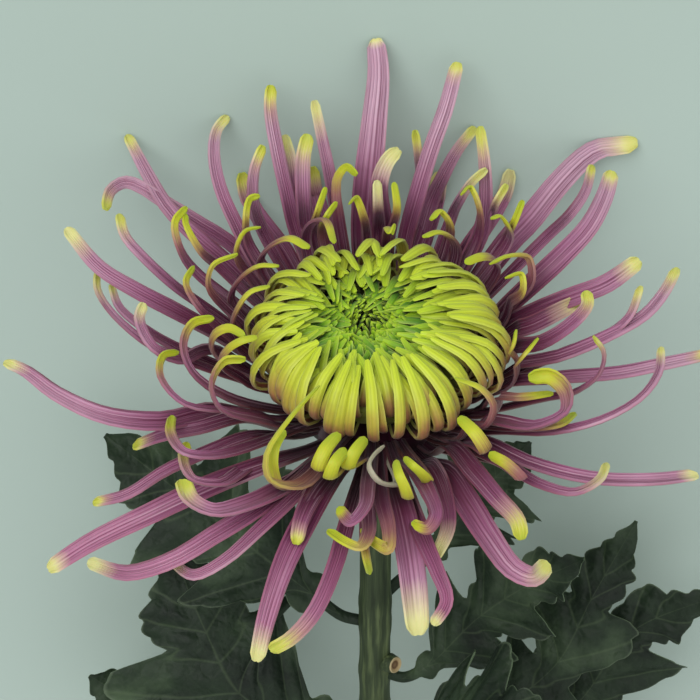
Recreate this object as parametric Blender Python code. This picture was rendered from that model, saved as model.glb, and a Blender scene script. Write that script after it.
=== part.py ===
"""A cut spider chrysanthemum, lying on its stem's end and on the ray florets of its under side.

Lengths are millimetres until a mesh is made. The bloom has three directions of its own: side, axis
(the way it faces) and front. A floret that the photograph shows is placed by the pixels that its
middle line passes and by its real height along the axis, so it lies where it is seen.
"""

import math
import random

import bmesh
import bpy
from mathutils import Vector

MILLIMETRE = 0.001

# The stem lies on its cut end and rises to the bloom
STEM_REACH = 200.0
STEM_RADIUS = 3.6
STEM_TILT = math.radians(14.5)
STEM_TOP = -27.1
STEM_SIDES = 10
STEM_STEPS = 20
STEM_GROOVE = 0.93
KNOT_LENGTH = 4.0
KNOT_SWELLING = 0.1
# The table that the lowest florets are flattened on, in metres but for how deep it bites into them
TABLE_WIDTH = 1.0
TABLE_THICKNESS = 0.1
TABLE_BITE = 0.45
BLOOM_RISE = STEM_REACH * math.sin(STEM_TILT) + STEM_RADIUS * math.cos(STEM_TILT) - TABLE_BITE
BLOOM_CENTRE = Vector((-1.07, -72.99, BLOOM_RISE))
SIDE = Vector((-1.0, 0.0, 0.0))
AXIS = Vector((0.0, -math.cos(STEM_TILT), math.sin(STEM_TILT)))
FRONT = Vector((0.0, math.sin(STEM_TILT), math.cos(STEM_TILT)))

# The photograph looks down on the bloom from its front
VIEW_RISE = math.radians(44.0)
VIEW_DISTANCE = 950.0
PIXEL_SIZE = 150.0 / 700.0
BLOOM_PIXEL = (377.0, 347.0)
MIDDLE_PIXEL = (350.0, 350.0)

# The space that the lime centre fills; the ray florets stay outside it
DOME_RADIUS = 29.5
DOME_MIDDLE = 1.2
DOME_RISE = 13.0
DOME_DEPTH = 10.6
DOME_ROUNDNESS = 2.5
LEAST_LEVEL = 0.2
LIME_CORE_RADIUS = 21.0
LIME_CORE_RISE = 5.0
LIME_CORE_DROP = 0.1
LIME_CORE_STEPS = 6
CORE_SQUARENESS = 0.8
CORE_POLE = 0.02
CORE_SIDES = 16
EYE_SIDE = -2.5
EYE_FRONT = 3.5

# The bowl that the ray florets are rooted in, and the green cup of bracts under it: distances from the
# axis and heights, from the foot up
BOWL_LINE = ((6.0, -19.0), (15.0, -18.6), (18.0, -15.4), (18.0, -10.7), (14.0, -9.8), (3.0, -9.8))
CUP_LINE = ((STEM_RADIUS, -26.8), (6.2, -25.6), (9.1, -22.0), (10.5, -19.4))
BRACTS = 12
BRACT_LINE = ((6.0, -24.4), (10.6, -22.2), (13.2, -20.2))
BRACT_WIDTHS = (3.2, 4.4, 0.9)
BRACT_THICKNESS = 1.1
BRACT_STRAY = 0.12

SPACING = 0.4
CURVE_STEPS = 14
SHORTEST_SPAN = 1e-3
SLIM_WIDTH = 2.6
RAY_STATIONS = 8
SLIM_STATIONS = 6
HOOK_STATIONS = 6
FOOT_WIDTH = 1.9
# A floret swells up to one share of its length and tapers from another; it is as thick as a share of
# its width, within limits
SWELL_END = 0.55
TAPER_START = 0.85
TAPER = 0.35
THICKNESS_SHARE = 0.42
THINNEST = 1.1
THICKEST = 1.9
LIME_THICKEST = 1.7
# The section of a long floret, as shares of its thickness and width
RAY_EDGE_RISE = 0.35
RAY_KEEL = 0.6
RAY_GROOVE = 0.08
RAY_ARCH = 3.6
LIME_STATIONS = (5, 5, 4, 4, 4, 4)
LIME_FOOT = 0.6
LIME_STRAY = 0.18
LIME_CURL = 1.6
LIME_LIFT = 0.6
LIME_MARGIN = 1.2
# Where a purple floret leaves the bowl and passes under the dome's rim
ROOT_RADIUS = 14.5
UNDER_RIM = 22.0
UNDER_RIM_DROP = 2.0
ROOT_SHARE = 0.6
ROOT_TIERS = {"rays": (-14.9, -16.4, -17.9), "hooks": (-12.0, -13.4)}
# The florets' usual height where they come out from under the dome: back, left, right and front
RIM_HEIGHTS = {"rays": (-3.5, -4.5, -4.5, -7.0), "hooks": (1.0, 1.0, 1.0, -2.0)}
TIER_STEP = 1.2
BEND_WEIGHT = 9.0
DRAW_SEED = 11

# Each floret: the tip's height, the greatest width, then pixels from the dome's rim to the tip.
# A height of None lets the tip down on to the table.
BACK_RAYS = (
    (None, 5.6, (365, 235), (369, 180), (375, 120), (379, 72), (376, 38)),
    (31, 3.2, (406, 238), (416, 200), (431, 150), (446, 108), (458, 62)),
    (26, 2.8, (297, 235), (286, 190), (276, 145), (270, 108), (271, 85)),
    (25, 2.5, (340, 230), (331, 180), (323, 142), (314, 100)),
    (20, 3.0, (308, 235), (303, 195), (303, 158), (308, 134)),
    (19, 2.3, (265, 235), (253, 200), (254, 170), (263, 145)),
    (None, 2.4, (255, 262), (238, 228), (221, 190), (214, 155), (217, 130), (228, 116)),
    (18, 4.2, (383, 232), (380, 182), (388, 161), (400, 149)),
    (14, 2.6, (379, 234), (378, 205), (377, 180)),
    (20, 2.1, (419, 192), (419, 160), (415, 130)),
    (None, 3.0, (430, 205), (442, 178), (456, 152), (475, 127)),
    (16, 2.1, (450, 222), (460, 200), (473, 181), (487, 169)),
    (21, 3.2, (480, 235), (486, 202), (485, 165), (480, 126)),
    (13, 2.0, (486, 228), (497, 201), (507, 184)),
)
LEFT_RAYS = (
    (None, 3.0, (235, 270), (200, 240), (168, 208), (148, 175), (127, 135)),
    (9, 2.8, (236, 248), (200, 224), (166, 203), (143, 188), (126, 182), (111, 190), (105, 210)),
    (15, 3.1, (215, 333), (175, 311), (137, 291), (100, 268), (66, 228)),
    (13, 2.1, (200, 304), (172, 284), (142, 256), (125, 236), (119, 214)),
    (9, 2.0, (190, 362), (150, 345), (116, 317), (98, 291), (97, 272)),
    (7, 2.0, (185, 352), (145, 329), (120, 308), (111, 284)),
    (10, 2.2, (215, 350), (178, 359), (153, 347), (139, 320), (144, 303)),
    (2, 3.8, (215, 411), (160, 422), (105, 416), (58, 395), (25, 371), (4, 362)),
    (-10, 3.2, (240, 418), (200, 428), (165, 435), (133, 447)),
    (-14, 2.6, (250, 436), (205, 453), (165, 471), (128, 494), (93, 503)),
    (-22, 4.0, (262, 466), (205, 488), (150, 514), (92, 542), (48, 570)),
    (-17, 3.4, (262, 506), (215, 535), (175, 559), (130, 573), (88, 562)),
    (-12, 2.6, (300, 492), (262, 527), (225, 560), (195, 575), (170, 560)),
    (2, 4.0, (290, 484), (250, 503), (214, 511), (191, 500), (182, 480)),
    (0, 2.8, (250, 466), (220, 483), (193, 479), (183, 458), (188, 443)),
)
RIGHT_RAYS = (
    (None, 4.8, (510, 240), (530, 219), (560, 182), (588, 155), (611, 144), (638, 142)),
    (12, 2.0, (545, 238), (570, 214), (585, 192), (592, 165)),
    (14, 4.0, (495, 320), (530, 286), (562, 256), (588, 228), (604, 198), (612, 171)),
    (12, 3.6, (500, 330), (538, 311), (572, 297), (606, 284), (640, 260)),
    (5, 3.4, (500, 336), (532, 325), (560, 311), (585, 299)),
    (12, 2.8, (505, 350), (543, 342), (570, 325), (587, 306), (586, 291)),
    (12, 2.9, (505, 368), (560, 356), (610, 335), (645, 315), (666, 290), (677, 268)),
    (14, 2.0, (560, 354), (602, 338), (629, 317), (641, 286)),
    (13, 1.9, (545, 398), (577, 391), (599, 374), (604, 353), (593, 336)),
    (2, 3.1, (500, 385), (560, 378), (620, 373), (665, 364), (712, 354)),
    (10, 2.1, (500, 431), (555, 431), (603, 419), (640, 398), (659, 372), (661, 347)),
    (-8, 3.2, (480, 440), (530, 463), (590, 478), (650, 480), (698, 475)),
    (3, 2.1, (500, 462), (540, 484), (575, 492), (599, 480), (607, 463)),
)
FRONT_RAYS = (
    (-3, 3.6, (450, 445), (474, 471), (498, 499), (517, 520), (522, 540)),
    (-7, 4.8, (445, 470), (468, 505), (490, 539), (513, 569), (532, 577), (548, 563)),
    (-17, 5.6, (392, 500), (401, 535), (412, 582), (417, 636)),
    (-15, 3.2, (424, 540), (437, 570), (447, 600), (433, 625)),
    (-7, 3.5, (430, 465), (443, 495), (446, 528), (428, 558)),
    (-8, 4.4, (322, 482), (308, 503), (300, 523), (296, 545)),
    (-24, 4.4, (320, 495), (300, 530), (283, 566), (267, 615), (256, 662)),
    (-22, 2.9, (346, 525), (333, 570), (314, 612), (292, 637), (270, 650)),
)

# Shorter florets that rise beside the centre and hook over
BACK_HOOKS = (
    (15, 2.4, (342, 240), (337, 205), (337, 179), (346, 167), (357, 175)),
    (15, 2.5, (306, 244), (313, 222), (325, 220), (334, 243)),
    (15, 2.2, (367, 240), (363, 215), (356, 198), (349, 204)),
    (16, 2.2, (390, 238), (397, 207), (394, 182)),
    (14, 2.6, (447, 246), (449, 221), (440, 211), (431, 220)),
    (14, 2.5, (456, 256), (449, 236), (437, 232), (423, 237)),
    (13, 2.7, (386, 256), (389, 238), (395, 224)),
    (16, 2.3, (477, 240), (479, 207), (470, 187), (461, 195)),
    (14, 2.1, (503, 240), (514, 222), (523, 200)),
    (13, 2.6, (250, 246), (246, 218), (250, 199), (260, 196)),
    (14, 2.5, (246, 272), (236, 250), (245, 231), (261, 227)),
    (14, 2.6, (261, 268), (266, 250), (288, 238), (309, 248)),
    (14, 2.6, (232, 304), (238, 281), (258, 266), (279, 266)),
)
LEFT_HOOKS = (
    (14, 2.5, (196, 272), (178, 243), (175, 222), (187, 207)),
    (13, 2.4, (218, 266), (200, 250), (186, 224), (186, 214)),
    (11, 2.3, (222, 330), (198, 306), (186, 283), (194, 266)),
    (13, 2.3, (226, 308), (208, 284), (213, 265), (238, 254)),
    (12, 2.6, (234, 330), (236, 311), (250, 292), (270, 286)),
    (11, 2.6, (214, 353), (214, 335), (229, 328), (245, 336)),
    (12, 2.6, (222, 366), (227, 350), (241, 341), (257, 337)),
    (12, 3.2, (262, 421), (220, 408), (211, 385), (224, 361), (246, 359)),
    (8, 3.0, (225, 396), (193, 373), (183, 347), (193, 323), (214, 318)),
    (6, 2.3, (236, 411), (185, 404), (161, 378), (164, 355), (179, 352)),
    (-1, 2.5, (215, 455), (185, 452), (171, 434), (172, 416)),
)
RIGHT_HOOKS = (
    (13, 2.4, (497, 272), (492, 258), (480, 257), (465, 263)),
    (14, 2.6, (515, 300), (532, 278), (528, 257), (508, 256), (490, 264)),
    (13, 2.4, (505, 306), (523, 290), (521, 274), (505, 278)),
    (9, 4.8, (490, 420), (535, 426), (565, 412), (566, 391), (549, 376), (528, 378)),
    (2, 2.8, (490, 397), (520, 397), (553, 393)),
    (11, 2.9, (470, 428), (488, 424), (494, 406), (482, 389), (455, 378)),
    (4, 2.7, (472, 458), (487, 452), (480, 434), (460, 417)),
    (-1, 2.3, (512, 482), (520, 473), (509, 462), (491, 454)),
)
FRONT_HOOKS = (
    (-1, 4.0, (415, 470), (428, 492), (436, 515), (428, 528), (412, 523)),
    (-9, 3.6, (404, 530), (395, 547), (380, 542), (365, 530)),
    (-9, 3.5, (372, 535), (361, 545), (346, 539), (332, 528)),
    (0, 3.2, (368, 485), (364, 508), (352, 521), (338, 508)),
    (5, 2.7, (322, 478), (318, 462), (327, 446), (340, 433)),
    (4, 2.5, (348, 480), (348, 464), (357, 450), (367, 437)),
    (4, 2.5, (409, 500), (404, 486), (399, 475), (395, 461)),
    (4, 2.7, (436, 488), (428, 475), (416, 468), (405, 458)),
    (3, 2.4, (398, 484), (378, 481), (369, 467), (374, 455), (384, 446)),
    (14, 3.4, (296, 486), (268, 478), (266, 455), (290, 418), (319, 386)),
    (9, 3.2, (282, 488), (272, 466), (274, 447), (284, 430)),
)
# Florets of the under side, fanned about straight down, each let down on to the table
UNDER_RAYS = 5
UNDER_FAN = math.radians(56.0)
UNDER_WIDTH = 3.6
UNDER_LIE = (-12.0, 2.0)
UNDER_LIFT = 0.5
UNDER_ROOT = -17.5
UNDER_BEND = -15.0
# Its knee: how far out, and how much of its lie it keeps and drops; then what its tip adds
UNDER_KNEE = (0.7, 0.5, 5.0)
UNDER_TIP = (4.0, 7.0)

# Rings of lime florets: how many, greatest width, and distance from the axis and height at the
# foot, the bulge, the crest and the tip
LIME_RINGS = (
    (30, 3.6, (17.0, -5.6), (26.8, -2.4), (28.2, 1.8), (24.8, 8.4), (16.8, 11.2)),
    (26, 3.2, (17.0, -1.2), (23.6, 0.8), (24.6, 4.0), (21.2, 8.4), (13.2, 9.8)),
    (18, 2.9, (15.0, 1.0), (19.4, 2.6), (20.4, 4.6), (17.4, 7.6), (10.0, 8.4)),
    (13, 2.5, (11.0, 2.6), (15.0, 4.0), (15.6, 5.4), (12.8, 7.0), (6.8, 7.2)),
    (8, 2.1, (7.0, 3.0), (10.2, 4.2), (10.4, 5.4), (8.2, 6.4), (3.8, 6.4)),
    (4, 1.9, (2.6, 3.0), (4.6, 4.4), (4.8, 5.2), (3.8, 5.8), (1.6, 6.0)),
)

# One edge of a leaf's blade: how far along the middle rib, and how wide as a share of the widest
LEAF_EDGE = (
    (0.00, 0.04), (0.05, 0.24), (0.11, 0.18), (0.18, 0.56), (0.25, 0.88), (0.32, 0.94), (0.37, 0.40),
    (0.43, 0.50), (0.50, 0.90), (0.57, 0.96), (0.61, 0.76), (0.65, 0.34), (0.72, 0.42), (0.79, 0.46),
    (0.86, 0.30), (0.93, 0.18), (1.00, 0.03),
)
LEAF_STRAY = 0.07
LEAF_LEAN = 0.55
LEAF_FOLD = 0.22
LEAF_WAVE = 1.6
WAVE_TURNS = 7.0
WAVE_PHASES = 6.0
BLADE_OPENING = 0.12
STALK_STEPS = 5
STALK_RUN = 4.0
STALK_RISE = 0.8
# Each leaf: greatest half width, how far along the blade begins, then the pixels and heights that
# its middle rib passes from the stem outwards
LEAVES = (
    (21, 0.13, (358, 622, -87), (320, 600, -81), (262, 556, -71), (190, 500, -61), (105, 435, -50)),
    (29, 0.08, (372, 722, -122), (306, 722, -116), (240, 694, -103), (205, 630, -90), (172, 548, -76)),
    (19, 0.30, (366, 775, -141), (290, 775, -135), (200, 742, -123), (90, 676, -104)),
    (14, 0.12, (384, 668, -103), (430, 664, -96), (478, 618, -81), (530, 584, -69), (583, 560, -58)),
    (14, 0.18, (384, 715, -119), (470, 722, -113), (553, 668, -100), (592, 598, -84), (636, 522, -65)),
    (17, 0.26, (384, 742, -131), (480, 768, -131), (575, 706, -117), (632, 632, -96), (716, 596, -84)),
    (16, 0.30, (384, 722, -117), (424, 722, -100), (490, 710, -80), (560, 744, -80)),
    (14, 0.26, (388, 600, -80), (425, 560, -76), (470, 505, -67), (530, 442, -54)),
)
BLADE_THICKNESS = 0.9
EDGE_THICKNESS = 0.8
STALK_HALF_WIDTH = 1.3
STALK_THICKNESS = 1.8

LIME = ((0.49, 0.60, 0.02), 0.5)
PURPLE = ((0.33, 0.13, 0.22), 0.5)
STEM_GREEN = ((0.07, 0.11, 0.05), 0.55)
LEAF_GREEN = ((0.03, 0.06, 0.03), 0.6)
SHARP_ANGLE = math.radians(50.0)


def eased(fraction):
    """Return a fraction from 0 to 1 that starts and ends gently."""
    fraction = min(max(fraction, 0.0), 1.0)
    return fraction * fraction * (3.0 - 2.0 * fraction)


def in_world(point):
    """Turn a point in side, axis and front millimetres into world metres."""
    offset = point.x * SIDE + point.y * AXIS + point.z * FRONT
    return (BLOOM_CENTRE + offset) * MILLIMETRE


def height_over_table(point):
    """Return how far a point of the bloom lies above the table."""
    return BLOOM_RISE + point.y * AXIS.z + point.z * FRONT.z


def view_line(pixel):
    """Return the eye and the point of the bloom's middle plane that a pixel shows."""
    up = Vector((0.0, math.cos(VIEW_RISE), -math.sin(VIEW_RISE)))
    towards_eye = Vector((0.0, math.sin(VIEW_RISE), math.cos(VIEW_RISE)))
    right = Vector((1.0, 0.0, 0.0))

    def on_plane(column, row):
        across = (column - BLOOM_PIXEL[0]) * PIXEL_SIZE
        return across * right + (BLOOM_PIXEL[1] - row) * PIXEL_SIZE * up

    return on_plane(*MIDDLE_PIXEL) + VIEW_DISTANCE * towards_eye, on_plane(*pixel)


def seen_at(pixel, height):
    """Return the point at a height along the axis that a pixel shows."""
    eye, target = view_line(pixel)
    return eye.lerp(target, (height - eye.y) / (target.y - eye.y))


def seen_on_table(pixel, lift):
    """Return the point that a pixel shows at a small lift above the table."""
    eye, target = view_line(pixel)
    eye_height = height_over_table(eye)
    return eye.lerp(target, (lift - eye_height) / (height_over_table(target) - eye_height))


def curve_through(points):
    """Return a smooth line of samples through points."""
    ends = [2 * points[0] - points[1]] + list(points) + [2 * points[-1] - points[-2]]
    samples = []
    for before, start, end, after in zip(ends, ends[1:], ends[2:], ends[3:]):
        spans = (start - before, end - start, after - end)
        lengths = [max(span.length, SHORTEST_SPAN) ** 0.5 for span in spans]
        leave = (start - before) / lengths[0] - (end - before) / (lengths[0] + lengths[1])
        leave = (leave + (end - start) / lengths[1]) * lengths[1]
        arrive = (end - start) / lengths[1] - (after - start) / (lengths[1] + lengths[2])
        arrive = (arrive + (after - end) / lengths[2]) * lengths[1]
        for step in range(CURVE_STEPS):
            t = step / CURVE_STEPS
            samples.append(
                start * (2 * t**3 - 3 * t**2 + 1) + leave * (t**3 - 2 * t**2 + t)
                + end * (3 * t**2 - 2 * t**3) + arrive * (t**3 - t**2)
            )
    return samples + [points[-1].copy()]


def placed_along(samples, count):
    """Pick stations along a sampled line, closer together where it bends."""
    travelled = [0.0]
    for index in range(1, len(samples)):
        step = samples[index] - samples[index - 1]
        turn = 0.0
        if index > 1:
            last = samples[index - 1] - samples[index - 2]
            turn = last.angle(step, 0.0)
        travelled.append(travelled[-1] + step.length + BEND_WEIGHT * turn)
    stations = []
    for number in range(count):
        wanted = travelled[-1] * number / (count - 1)
        index = next((i for i in range(1, len(travelled)) if travelled[i] >= wanted), len(travelled) - 1)
        part = (wanted - travelled[index - 1]) / (travelled[index] - travelled[index - 1])
        stations.append(samples[index - 1].lerp(samples[index], part))
    return stations


def dome_level(point, grown):
    """Return how far out a point lies: below 1 inside the centre's dome grown by a margin."""
    away = math.hypot(point.x, point.z) / (DOME_RADIUS + grown)
    rise = point.y - DOME_MIDDLE
    tall = abs(rise) / ((DOME_RISE if rise > 0.0 else DOME_DEPTH) + grown)
    return (away**DOME_ROUNDNESS + tall**DOME_ROUNDNESS) ** (1.0 / DOME_ROUNDNESS)


def moved_from_middle(point, factor):
    """Return a point pushed out from or in to the middle of the centre's dome."""
    return Vector((point.x * factor, DOME_MIDDLE + (point.y - DOME_MIDDLE) * factor, point.z * factor))


def kept_outside(samples, margin):
    """Bend a line so that it stays outside the centre's dome."""
    return [moved_from_middle(p, max(1.0, 1.0 / max(dome_level(p, margin), LEAST_LEVEL))) for p in samples]


def kept_inside(samples, margin):
    """Bend a line so that it stays inside the centre's dome."""
    return [moved_from_middle(p, min(1.0, 1.0 / max(dome_level(p, -margin), LEAST_LEVEL))) for p in samples]


def kept_above_table(samples, lift):
    """Bend a line up where it would pass under the table's surface."""
    kept = []
    for point in samples:
        short = lift - height_over_table(point)
        kept.append(point + Vector((0.0, 0.0, short / FRONT.z)) if short > 0.0 else point)
    return kept


def floret_frames(stations, across):
    """Return for each station its place, its way across and its upper side."""
    frames = []
    for index, place in enumerate(stations):
        ahead = stations[min(index + 1, len(stations) - 1)] - stations[max(index - 1, 0)]
        ahead.normalize()
        across = (across - across.dot(ahead) * ahead).normalized()
        frames.append((place, across, across.cross(ahead)))
    return frames


def solid_from(bm, name):
    """Turn a closed mesh into an object whose faces are triangles and point out."""
    bmesh.ops.triangulate(bm, faces=bm.faces)
    bmesh.ops.recalc_face_normals(bm, faces=bm.faces)
    if bm.calc_volume(signed=True) < 0.0:
        bmesh.ops.reverse_faces(bm, faces=bm.faces)
    mesh = bpy.data.meshes.new(name)
    bm.to_mesh(mesh)
    bm.free()
    return bpy.data.objects.new(name, mesh)


def closed_sweep(name, frames, sections):
    """Make a closed solid from one section at each frame, and return its object."""
    bm = bmesh.new()
    rings = []
    for (place, across, upper), section in zip(frames, sections):
        rings.append([bm.verts.new(in_world(place + a * across + b * upper)) for a, b in section])
    sides = len(rings[0])
    for low, high in zip(rings, rings[1:]):
        for index in range(sides):
            following = (index + 1) % sides
            bm.faces.new((low[index], low[following], high[following]))
            bm.faces.new((low[index], high[following], high[index]))
    bm.faces.new(list(reversed(rings[0])))
    bm.faces.new(rings[-1])
    return solid_from(bm, name)


def floret_width(fraction, greatest, foot):
    """Return a floret's width along its length: slim at its foot, widest past the middle."""
    swelling = foot + (greatest - foot) * eased(fraction / SWELL_END)
    return swelling * (1.0 - TAPER * eased((fraction - TAPER_START) / (1.0 - TAPER_START)))


def ray_section(width, thickness):
    """Return a strip's section with a groove along its upper side."""
    half = 0.5 * width
    low = -0.5 * thickness
    edge = RAY_EDGE_RISE * thickness
    return [(-half, edge), (-RAY_KEEL * half, low), (RAY_KEEL * half, low), (half, edge),
            (0.0, RAY_GROOVE * thickness)]


def hook_section(width, thickness):
    """Return a rounded strip's section of four corners."""
    return [(-0.5 * width, 0.0), (0.0, -0.5 * thickness), (0.5 * width, 0.0), (0.0, 0.5 * thickness)]


def floret(samples, shape, width, foot, thickest=THICKEST):
    """Make one floret along a sampled line, with its count of stations and its section."""
    count, section = shape
    stations = placed_along(samples, count)
    start = stations[0]
    around = Vector((-start.z, 0.0, start.x)).normalized()
    frames = floret_frames(stations, around)
    sections = []
    for index in range(count):
        wide = floret_width(index / (count - 1), width, foot)
        sections.append(section(wide, min(max(THICKNESS_SHARE * wide, THINNEST), thickest)))
    return closed_sweep("floret", frames, sections)


def ray_line(pixels, tip_height, rim_height, root_height, arch, half_thickness):
    """Return the line of a floret that the photograph shows, from its root to its tip."""
    if tip_height is None:
        tip = seen_on_table(pixels[-1], half_thickness - TABLE_BITE)
        tip_height = tip.y
    run = [0.0]
    for before, after in zip(pixels, pixels[1:]):
        run.append(run[-1] + math.dist(before, after))
    shown = []
    for pixel, passed in zip(pixels, run):
        fraction = passed / run[-1]
        height = rim_height + (tip_height - rim_height) * fraction + arch * math.sin(math.pi * fraction)
        shown.append(seen_at(pixel, height))
    first = shown[0]
    outward = Vector((first.x, 0.0, first.z)).normalized()
    root = outward * ROOT_RADIUS + Vector((0.0, root_height, 0.0))
    bend = ROOT_SHARE * root_height + (1.0 - ROOT_SHARE) * rim_height - UNDER_RIM_DROP
    under_rim = outward * UNDER_RIM + Vector((0.0, bend, 0.0))
    samples = curve_through([root, under_rim] + shown)
    samples = kept_outside(samples, half_thickness + SPACING)
    return kept_above_table(samples, half_thickness - TABLE_BITE)


def ray_florets(draw):
    """Make every purple floret, long or hooked, and return the objects."""
    florets = []
    for kind, count, section, parts in (
        ("rays", RAY_STATIONS, ray_section, (BACK_RAYS, LEFT_RAYS, RIGHT_RAYS, FRONT_RAYS)),
        ("hooks", HOOK_STATIONS, hook_section, (BACK_HOOKS, LEFT_HOOKS, RIGHT_HOOKS, FRONT_HOOKS)),
    ):
        rows = [(rim_height, *row) for rim_height, part in zip(RIM_HEIGHTS[kind], parts) for row in part]
        rows.sort(key=lambda row: math.atan2(row[3][1] - BLOOM_PIXEL[1], row[3][0] - BLOOM_PIXEL[0]))
        tiers = ROOT_TIERS[kind]
        for order, (rim_height, tip_height, width, *pixels) in enumerate(rows):
            tier = order % len(tiers)
            rim = rim_height + TIER_STEP * (0.5 * (len(tiers) - 1) - tier)
            samples = ray_line(pixels, tip_height, rim, tiers[tier], RAY_ARCH, 0.5 * THICKEST)
            slim = kind == "rays" and width < SLIM_WIDTH
            shape = (SLIM_STATIONS, hook_section) if slim else (count, section)
            florets.append(floret(samples, shape, width, min(FOOT_WIDTH, width)))
    knee_reach, knee_share, knee_drop = UNDER_KNEE
    for number in range(UNDER_RAYS):
        turn = UNDER_FAN * (number / (UNDER_RAYS - 1) - 0.5)
        outward = Vector((math.sin(turn), 0.0, -math.cos(turn)))
        lie = draw.uniform(*UNDER_LIE)
        reach = (BLOOM_RISE + lie * AXIS.z - UNDER_LIFT) / (FRONT.z * math.cos(turn))
        points = [outward * away + Vector((0.0, height, 0.0)) for away, height in (
            (ROOT_RADIUS, UNDER_ROOT), (UNDER_RIM, UNDER_BEND),
            (knee_reach * reach, knee_share * lie - knee_drop), (reach, lie),
            (reach + UNDER_TIP[0], lie + UNDER_TIP[1]),
        )]
        samples = kept_above_table(curve_through(points), 0.5 * THICKEST - TABLE_BITE)
        florets.append(floret(samples, (RAY_STATIONS, ray_section), UNDER_WIDTH, FOOT_WIDTH))
    return florets


def centre_florets(draw):
    """Make the lime florets of the centre and return the objects."""
    florets = []
    for ring, (count, width, *profile) in enumerate(LIME_RINGS):
        for number in range(count):
            stray = draw.uniform(-LIME_STRAY, LIME_STRAY)
            turn = 2.0 * math.pi * (number + 0.5 * (ring % 2) + stray) / count
            away = Vector((math.cos(turn), 0.0, math.sin(turn)))
            aside = Vector((-math.sin(turn), 0.0, math.cos(turn)))
            curl = draw.uniform(-LIME_CURL, LIME_CURL)
            lift = draw.uniform(-LIME_LIFT, LIME_LIFT)
            points = []
            for step, (reach, height) in enumerate(profile):
                share = step / (len(profile) - 1)
                towards_eye = Vector((EYE_SIDE, 0.0, EYE_FRONT)) * (1.0 - reach / DOME_RADIUS) * share
                point = away * reach + Vector((0.0, height + lift * share, 0.0)) + towards_eye
                points.append(point + aside * curl * share**2)
            samples = kept_inside(curve_through(points), LIME_MARGIN)
            shape = (LIME_STATIONS[ring], hook_section)
            florets.append(floret(samples, shape, width, LIME_FOOT * width, LIME_THICKEST))
    return florets


def turned_core(name, profile, sides):
    """Make a closed solid of revolution about the axis from distances and heights."""
    bm = bmesh.new()
    rings = []
    for away, height in profile:
        ring = []
        for side in range(sides):
            turn = 2.0 * math.pi * side / sides
            point = Vector((away * math.cos(turn), height, away * math.sin(turn)))
            ring.append(bm.verts.new(in_world(point)))
        rings.append(ring)
    for low, high in zip(rings, rings[1:]):
        for side in range(sides):
            following = (side + 1) % sides
            bm.faces.new((low[side], low[following], high[following], high[side]))
    bm.faces.new(rings[0])
    bm.faces.new(rings[-1])
    return solid_from(bm, name)


def lime_core():
    """Make the core that the lime florets stand out of."""
    profile = []
    for step in range(LIME_CORE_STEPS + 1):
        turn = math.pi * (step / LIME_CORE_STEPS - 0.5)
        away = LIME_CORE_RADIUS * max(math.cos(turn), CORE_POLE) ** CORE_SQUARENESS
        tall = math.copysign(abs(math.sin(turn)) ** CORE_SQUARENESS, turn)
        rise = LIME_CORE_RISE if turn > 0.0 else DOME_DEPTH
        profile.append((away, DOME_MIDDLE + tall * rise - LIME_CORE_DROP))
    return turned_core("centre_florets", profile, CORE_SIDES)


def bract_cup(draw):
    """Make the green cup under the bloom and its pointed bracts."""
    cup = turned_core("involucre", CUP_LINE, CORE_SIDES)
    bracts = []
    for number in range(BRACTS):
        turn = 2.0 * math.pi * (number + draw.uniform(-BRACT_STRAY, BRACT_STRAY)) / BRACTS
        away = Vector((math.cos(turn), 0.0, math.sin(turn)))
        points = [away * reach + Vector((0.0, height, 0.0)) for reach, height in BRACT_LINE]
        frames = floret_frames(points, Vector((-math.sin(turn), 0.0, math.cos(turn))))
        sections = [hook_section(wide, BRACT_THICKNESS) for wide in BRACT_WIDTHS]
        bracts.append(closed_sweep("bract", frames, sections))
    return cup, bracts


def joined(core, repeats):
    """Fuse a node's repeats into its core and take the loose ones away."""
    scene = bpy.context.scene.collection
    scene.objects.link(core)
    gathered = bpy.data.collections.new(core.name + "_repeats")
    scene.children.link(gathered)
    for repeat in repeats:
        gathered.objects.link(repeat)
    union = core.modifiers.new("Join the repeats", "BOOLEAN")
    union.operation = "UNION"
    union.operand_type = "COLLECTION"
    union.collection = gathered
    union.solver = "MANIFOLD"
    apply_modifiers(core)
    without_scraps(core)
    for repeat in repeats:
        bpy.data.objects.remove(repeat)
    bpy.data.collections.remove(gathered)
    return core


def apply_modifiers(obj):
    """Replace an object's mesh with what its modifiers make of it."""
    bpy.context.view_layer.update()
    evaluated = obj.evaluated_get(bpy.context.evaluated_depsgraph_get())
    mesh = bpy.data.meshes.new_from_object(evaluated)
    obj.modifiers.clear()
    obj.data = mesh


def without_scraps(obj):
    """Fill the small hollows that fusing sealed: of the mesh, only its largest shell stays."""
    bm = bmesh.new()
    bm.from_mesh(obj.data)
    waiting = set(bm.verts)
    shells = []
    while waiting:
        shell = set()
        edge_of_shell = [waiting.pop()]
        while edge_of_shell:
            vert = edge_of_shell.pop()
            shell.add(vert)
            found = {edge.other_vert(vert) for edge in vert.link_edges} & waiting
            waiting -= found
            edge_of_shell.extend(found)
        shells.append(shell)
    shells.sort(key=len)
    for shell in shells[:-1]:
        bmesh.ops.delete(bm, geom=list(shell), context="VERTS")
    bm.to_mesh(obj.data)
    bm.free()


def flattened_on_table(obj):
    """Cut away what lies below the table, which leaves a small flat where the flower rests."""
    bpy.ops.mesh.primitive_cube_add(size=1.0, location=(0.0, 0.0, -0.5 * TABLE_THICKNESS))
    table = bpy.context.active_object
    table.scale = (TABLE_WIDTH, TABLE_WIDTH, TABLE_THICKNESS)
    cut = obj.modifiers.new("Rest on the table", "BOOLEAN")
    cut.operation = "DIFFERENCE"
    cut.object = table
    cut.solver = "MANIFOLD"
    apply_modifiers(obj)
    bpy.data.objects.remove(table)


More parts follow.
